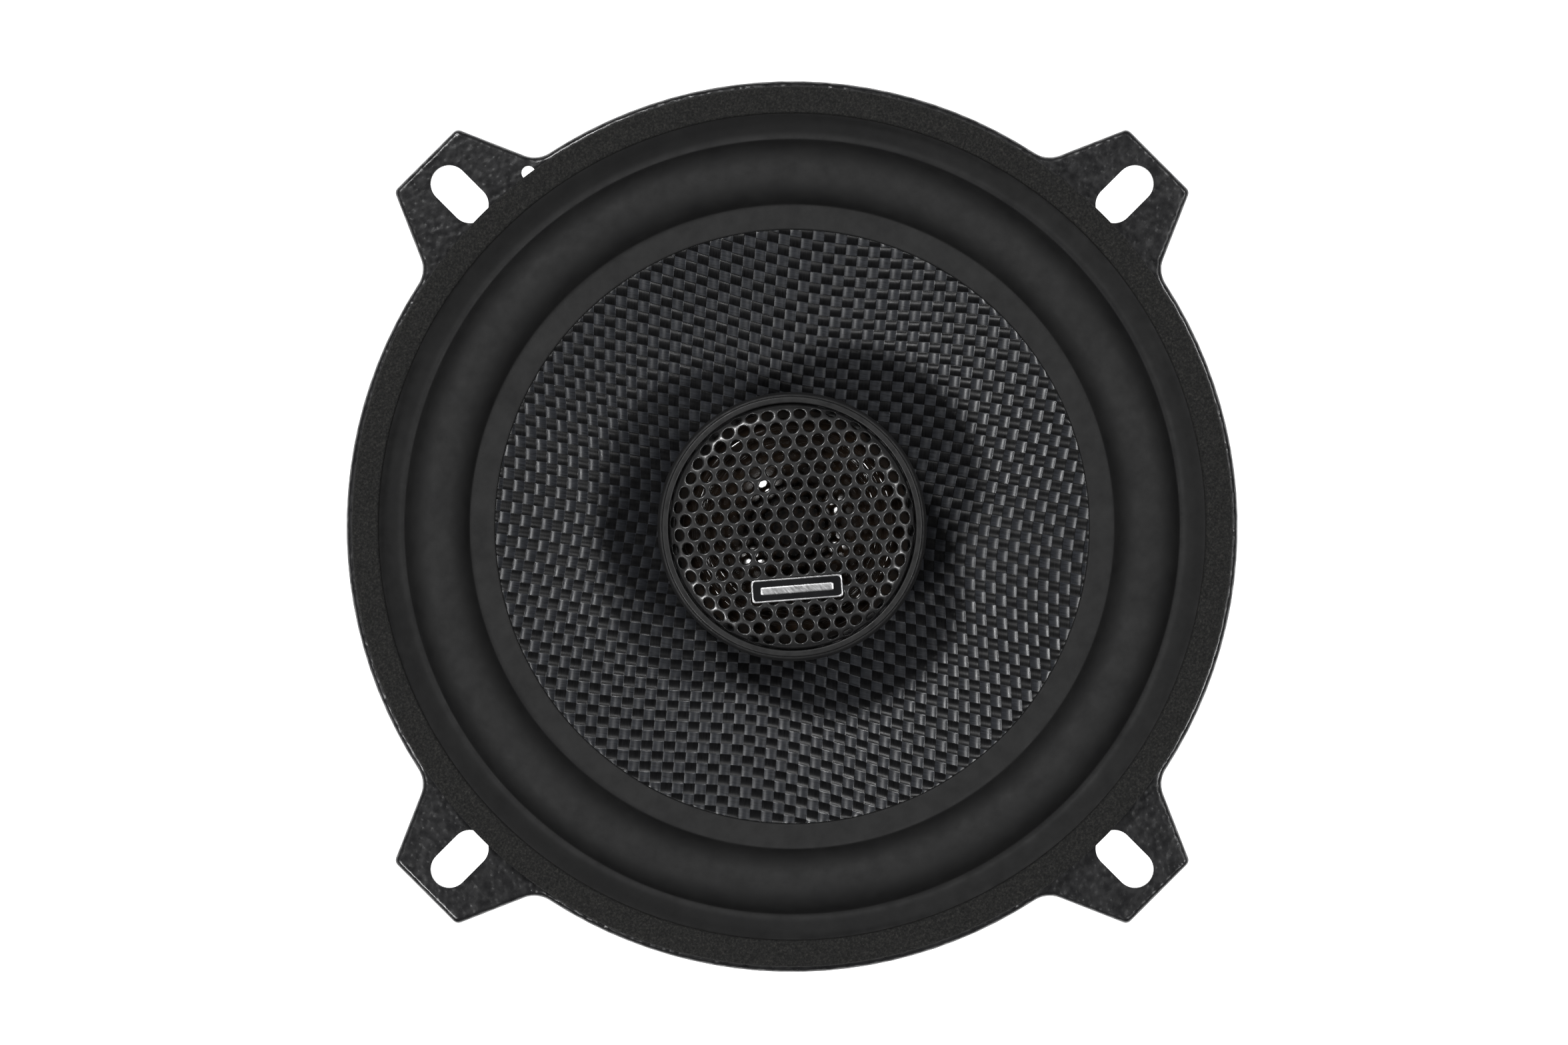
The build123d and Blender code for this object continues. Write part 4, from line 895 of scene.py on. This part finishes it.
def hole_centres(reach):
    """Centres of the holes in the flat sheet, in staggered rows, up to that distance out."""
    row_step = HOLE_PITCH * math.sqrt(3) / 2
    count = int(reach / row_step) + 2
    turn = Matrix.Rotation(GRILLE_TURN, 2)
    found = []
    for row in range(-count, count + 1):
        for column in range(-count, count + 1):
            place = Vector((column * HOLE_PITCH + (HOLE_PITCH / 2 if row % 2 else 0), row * row_step))
            if place.length <= reach:
                found.append(turn @ place)
    return found


def around(middle, radius, k, count):
    """The k-th of count points on a circle in the flat sheet."""
    angle = 2 * math.pi * k / count
    return middle + Vector((math.cos(angle), math.sin(angle))) * radius


def make_grille():
    """Perforated sheet: both faces, and a rolled rim and a wall to each hole."""
    sides = HOLE_SIDES
    sheet_r = SHOULDER_R + (RIM_R - SHOULDER_R) * math.pi / 2
    lip = HOLE_R + HOLE_RIM[0][0]
    centres = hole_centres(sheet_r - lip - HOLE_MARGIN)
    flat, edges, loops = [], [], []

    for centre in centres:
        start = len(flat)
        for k in range(sides):
            flat.append(around(centre, lip, k, sides))
            edges.append((start + k, start + (k + 1) % sides))
        loops.append(start)
    rim_start = len(flat)
    for k in range(RIM_SIDES):
        flat.append(around(Vector((0, 0)), sheet_r, k, RIM_SIDES))
        edges.append((rim_start + k, rim_start + (k + 1) % RIM_SIDES))
    nearest = np.array([tuple(c) for c in centres])
    for inset in EDGE_RINGS:
        for k in range(EDGE_RING_POINTS):
            place = around(Vector((0, 0)), sheet_r - inset, k, EDGE_RING_POINTS)
            if np.hypot(*(nearest - np.array(place)).T).min() > lip + HOLE_MARGIN:
                flat.append(place)
    _, _, triangles, origins, _, _ = delaunay_2d_cdt(flat, edges, [], 0, 1e-7)
    verts, faces = [], []

    def add(place, drop):
        at, height = pressed(place)
        verts.append((at.x, at.y, height - drop))
        return len(verts) - 1

    front = [add(p, 0.0) for p in flat]
    inside = lip * math.cos(math.pi / sides) * 0.98
    back = {}
    kept = []
    for triangle in triangles:
        corners = [origins[k][0] for k in triangle]
        middle = sum((flat[k] for k in corners), Vector((0, 0))) / 3
        if np.hypot(*(nearest - np.array(middle)).T).min() > inside:
            kept.append(corners)
            faces.append(tuple(front[k] for k in corners))
    for centre, start in zip(centres, loops):
        previous = [front[start + k] for k in range(sides)]
        for beyond, drop in HOLE_RIM[1:]:
            row = [add(around(centre, HOLE_R + beyond, k, sides), drop) for k in range(sides)]
            for k in range(sides):
                q = (k + 1) % sides
                faces.append((previous[k], previous[q], row[q], row[k]))
            previous = row
        for k in range(sides):
            back[start + k] = previous[k]
    for corners in kept:
        for k in corners:
            if k not in back:
                back[k] = add(flat[k], GRILLE_T)
        faces.append(tuple(back[k] for k in reversed(corners)))
    for k in range(RIM_SIDES):
        a, b = rim_start + k, rim_start + (k + 1) % RIM_SIDES
        faces.append((front[a], back[a], back[b], front[b]))
    piece = clean(add_mesh("perforated_grille", verts, faces, [M["grille"]]))
    finish_piece(piece, FRAME, "black_painted_mesh", "tweeter_grille")


BADGE_W, BADGE_H, BADGE_CORNER = 13.2, 3.3, 0.6
BADGE_AT = -9.0  # from the grille's middle to the badge's, square to the rows of holes
BAR_W, BAR_H, BAR_CORNER = BADGE_W - 2.6, 1.15, 0.35
RIM_OVERLAP = 0.02  # how much wider the bright rim is than the plate
# layers of a plate, from one side of its skin to the other: (inset from its edge, lift off the grille)
BADGE_LAYERS = [
    (BADGE_H / 2, 0.02), (1.1, 0.02), (0.5, 0.02), (0.0, 0.02), (0.0, 0.14), (0.06, 0.18), (0.4, 0.18),
    (0.8, 0.18), (1.2, 0.18), (BADGE_H / 2, 0.18),
]
BADGE_RIM_LAYERS = [
    (0.26, 0.14), (0.0, 0.14), (0.0, 0.26), (0.05, 0.31),
    (0.13, 0.33), (0.21, 0.31), (0.26, 0.26), (0.26, 0.14),
]
BAR_LAYERS = [(0.57, 0.17), (0.0, 0.17), (0.0, 0.24), (0.06, 0.29), (0.3, 0.31), (0.57, 0.31)]


def badge_part(name, w, h, corner, layers, material):
    """A rounded plate that follows the grille's dome: shrunken copies of its outline, joined."""
    turn = Matrix.Rotation(GRILLE_TURN, 2)
    box = [(-w / 2, -h / 2), (w / 2, -h / 2), (w / 2, h / 2), (-w / 2, h / 2)]
    ring = divided(round_corners(box, corner, 5), 0.4)
    verts, faces, count = [], [], len(ring)
    for inset, lift in layers:
        for x, y in ring:
            place = Vector((x * (1 - 2 * inset / w), y * (1 - 2 * inset / h) + BADGE_AT))
            verts.append((*(turn @ place), grille_height(place.length) + lift))
    for layer in range(len(layers) - 1):
        a, b = layer * count, (layer + 1) * count
        faces += [(a + k, a + (k + 1) % count, b + (k + 1) % count, b + k) for k in range(count)]
    return clean(add_mesh(name, verts, faces, [M[material]]), 2e-6)


def make_badge():
    """Blank name plate: a gloss black field inside a thin bright rim, with a plain satin bar."""
    base = badge_part("badge_plate_blank", BADGE_W, BADGE_H, BADGE_CORNER, BADGE_LAYERS, "badge")
    finish_piece(base, FRAME, "badge_metal", "badge_plate")
    w, h = BADGE_W + RIM_OVERLAP, BADGE_H + RIM_OVERLAP
    rim = badge_part("badge_bright_rim", w, h, BADGE_CORNER, BADGE_RIM_LAYERS, "silver")
    finish_piece(rim, FRAME, "badge_metal")
    bar = badge_part("badge_satin_bar", BAR_W, BAR_H, BAR_CORNER, BAR_LAYERS, "silver")
    finish_piece(bar, FRAME, "badge_metal")


DOME_R, DOME_RISE, DOME_FOOT = 12.2, 3.5, 3.67
DOME_STEPS, DOME_ROLL_STEPS = 40, 12
DOME_LIP = 3.53  # height of the clamped lip
DOME_LIP_OUT_R, DOME_LIP_IN_R = 17.3, 15.7
DOME_ROLL_R, DOME_ROLL_W, DOME_ROLL_RISE = 15.6, 2.6, 0.85


def make_diaphragm():
    """Dome, suspension roll and clamped lip in one film."""
    foot = DOME_FOOT
    sphere = (DOME_R**2 + DOME_RISE**2) / (2 * DOME_RISE)
    line = [(DOME_LIP_OUT_R, DOME_LIP), (DOME_LIP_IN_R, DOME_LIP)]
    for k in range(1, DOME_ROLL_STEPS + 1):
        t = k / DOME_ROLL_STEPS
        height = DOME_LIP + (foot - DOME_LIP) * t + DOME_ROLL_RISE * math.sin(math.pi * t)
        line.append((DOME_ROLL_R - DOME_ROLL_W * t, height))
    line += [(12.75, foot - 0.05), (12.3, foot)]
    for k in range(1, DOME_STEPS + 1):
        r = DOME_R * (1 - k / DOME_STEPS)
        line.append((r, foot + DOME_RISE - sphere + math.sqrt(sphere**2 - r**2)))
    line = soften(line, 0.12, 0.14)
    line[:, 0] = np.maximum(line[:, 0], 0.0)
    outline = thicken(line, 0.22)
    outline = [(max(0.0, r), z) for r, z in outline]
    piece = lathe("dome_diaphragm", outline, M["dome"], 200)
    radial_blend(piece)
    finish_piece(piece, None, "silk_dome", "tweeter_diaphragm")


# === leads and capacitor ===
TINSEL_ROUTE = [
    (4.9, -14.0, -16.0), (5.9, -17.4, -15.0), (7.3, -22.0, -13.6), (9.0, -28.5, -12.6),
    (10.4, -35.0, -12.9), (9.8, -39.8, -14.2), (8.0, -43.0, -14.58),
]
STRANDS, STRAND_R, STRAND_SIDES = 7, 0.2, 8
STRAND_ORBIT, STRAND_LAY = 0.36, 3.4  # a strand's distance from the lead's middle, and length of its turn


def tinsel_centreline(side):
    """The route of a tinsel lead, from the former to its terminal, as a smooth curve."""
    curve = bpy.data.curves.new("route", "CURVE")
    curve.dimensions = "3D"
    spline = curve.splines.new("NURBS")
    spline.points.add(len(TINSEL_ROUTE) - 1)
    for point, (x, y, z) in zip(spline.points, TINSEL_ROUTE):
        point.co = (side * x, y, z, 1)
    spline.order_u = 3
    spline.use_endpoint_u = True
    spline.resolution_u = 24
    holder = bpy.data.objects.new("route", curve)
    mesh = bpy.data.meshes.new_from_object(holder)
    points = [v.co.copy() for v in mesh.vertices]
    bpy.data.objects.remove(holder)
    bpy.data.curves.remove(curve)
    bpy.data.meshes.remove(mesh)
    return points


def make_tinsel_lead(name, node, side):
    """Round strands of tinsel laid round each other in a long twist."""
    line = tinsel_centreline(side)
    runs = [0.0]
    for a, b in zip(line, line[1:]):
        runs.append(runs[-1] + (b - a).length)
    sides = STRAND_SIDES
    verts, faces = [], []
    for s in range(STRANDS):
        start = len(verts)
        for k, (point, run) in enumerate(zip(line, runs)):
            along = (line[min(k + 1, len(line) - 1)] - line[max(k - 1, 0)]).normalized()
            one = along.cross(Vector((1, 0, 0))).normalized()
            two = along.cross(one)
            turn = 2 * math.pi * (s / STRANDS + run / STRAND_LAY)
            centre = point + (one * math.cos(turn) + two * math.sin(turn)) * STRAND_ORBIT
            for q in range(sides):
                angle = 2 * math.pi * q / sides
                verts.append(centre + (one * math.cos(angle) + two * math.sin(angle)) * STRAND_R)
        for k in range(len(line) - 1):
            for q in range(sides):
                a, b = start + k * sides, start + (k + 1) * sides
                faces.append((a + q, a + (q + 1) % sides, b + (q + 1) % sides, b + q))
        faces.append(tuple(start + q for q in range(sides))[::-1])
        last = start + (len(line) - 1) * sides
        faces.append(tuple(last + q for q in range(sides)))
    piece = add_mesh(name, verts, faces, [M["tinsel"]])
    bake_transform(piece)
    finish_piece(piece, None, "tinsel_braid", node)


CAPACITOR_ANGLE = math.radians(-73)
CAPACITOR_R, CAPACITOR_LENGTH, CAPACITOR_CENTRE_R, CAPACITOR_Z = 3.15, 12.0, 35.55, -23.4


def make_capacitor():
    """Bipolar electrolytic: a crimped can in a shrink sleeve, its bung at one end."""
    half = CAPACITOR_LENGTH / 2
    r = CAPACITOR_R
    can = [
        (0.0, -half), (2.1, -half), (2.2, -half + 0.25), (r - 0.35, -half + 0.25), (r - 0.2, -half),
        (r, -half + 0.3), (r, -half + 1.3), (r - 0.35, -half + 1.7), (r, -half + 2.1),
        (r, half - 0.5), (r - 0.5, half), (r - 0.8, half), (r - 0.9, half - 0.12), (0.0, half - 0.12),
    ]
    outline = round_corners(can, 0.25, 5, closed=False)
    shift = Matrix.Translation((CAPACITOR_CENTRE_R, 0, CAPACITOR_Z))
    lie_down = Matrix.Rotation(math.radians(-90), 4, "X")
    place = Matrix.Rotation(CAPACITOR_ANGLE, 4, "Z") @ shift @ lie_down

    def put(x, y, z):
        return tuple(place @ Vector((x, y, z)))

    piece = lathe("capacitor_can", outline, M["sleeve"], 96, put)
    finish_piece(piece, FRAME, "capacitor_sleeve", "crossover_capacitor")


make_gasket()
make_surround()
make_cone()
make_cone_collar()
make_spider()
make_bezel()
make_cup()
make_grille()
make_badge()
make_diaphragm()
make_tinsel_lead("tinsel_braid_positive", "tinsel_lead_positive", 1)
make_tinsel_lead("tinsel_braid_negative", "tinsel_lead_negative", -1)
make_capacitor()


# === floor and light ===
# metres: half the floor's side, its gap under the speaker, and how far off the lamps stand
FLOOR_HALF, FLOOR_GAP, LAMP_DISTANCE = 3.0, 0.0002, 1.1
# each lamp's name, angle round the picture, tilt off the axis, side in metres, and watts
LAMPS = [
    ("key_upper_left", 124, 36, 0.2, 4.9),
    ("fill_right", 27, 36, 0.17, 2.3),
    ("fill_lower_right", -22, 36, 0.17, 2.6),
    ("fill_lower_left", -140, 38, 0.18, 4.3),
]


def make_floor():
    """A floor just under the speaker, glowing so that it photographs as white."""
    mesh = bpy.data.meshes.new("floor")
    half, level = FLOOR_HALF, CAD_BOX[0][2] - FLOOR_GAP
    corners = [(-half, -half, level), (half, -half, level), (half, half, level), (-half, half, level)]
    mesh.from_pydata(corners, [], [(0, 1, 2, 3)])
    floor = bpy.data.objects.new("floor", mesh)
    scene.collection.objects.link(floor)
    glow = {"Emission_Strength": 1.0, "Emission_Color": (1, 1, 1, 1)}
    p = Paint("floor", (0.9, 0.9, 0.9), 0.9, Specular_IOR_Level=0.1, **glow)
    mesh.materials.append(p.material)


def softbox(name, picture_angle, tilt, size, power):
    """A square soft light: angle round the picture and tilt off the camera's line, in degrees."""
    data = bpy.data.lights.new(name, "AREA")
    data.shape = "SQUARE"
    data.size = size
    data.energy = power
    lamp = bpy.data.objects.new(name, data)
    angle = math.radians(picture_angle) + PICTURE_TURN
    tilt = math.radians(tilt)
    away = Vector((math.cos(angle) * math.sin(tilt), math.sin(angle) * math.sin(tilt), math.cos(tilt)))
    lamp.location = away * LAMP_DISTANCE
    lamp.rotation_mode = "QUATERNION"
    lamp.rotation_quaternion = away.to_track_quat("Z", "Y")
    scene.collection.objects.link(lamp)


def make_light():
    """The four lamps, and a faint even light from all round."""
    world = bpy.data.worlds.new("studio")
    scene.world = world
    world.use_nodes = True
    background = world.node_tree.nodes["Background"]
    background.inputs["Color"].default_value = (1, 1, 1, 1)
    background.inputs["Strength"].default_value = 0.06
    for lamp in LAMPS:
        softbox(*lamp)


make_floor()
make_light()
scene.view_settings.view_transform = "Standard"
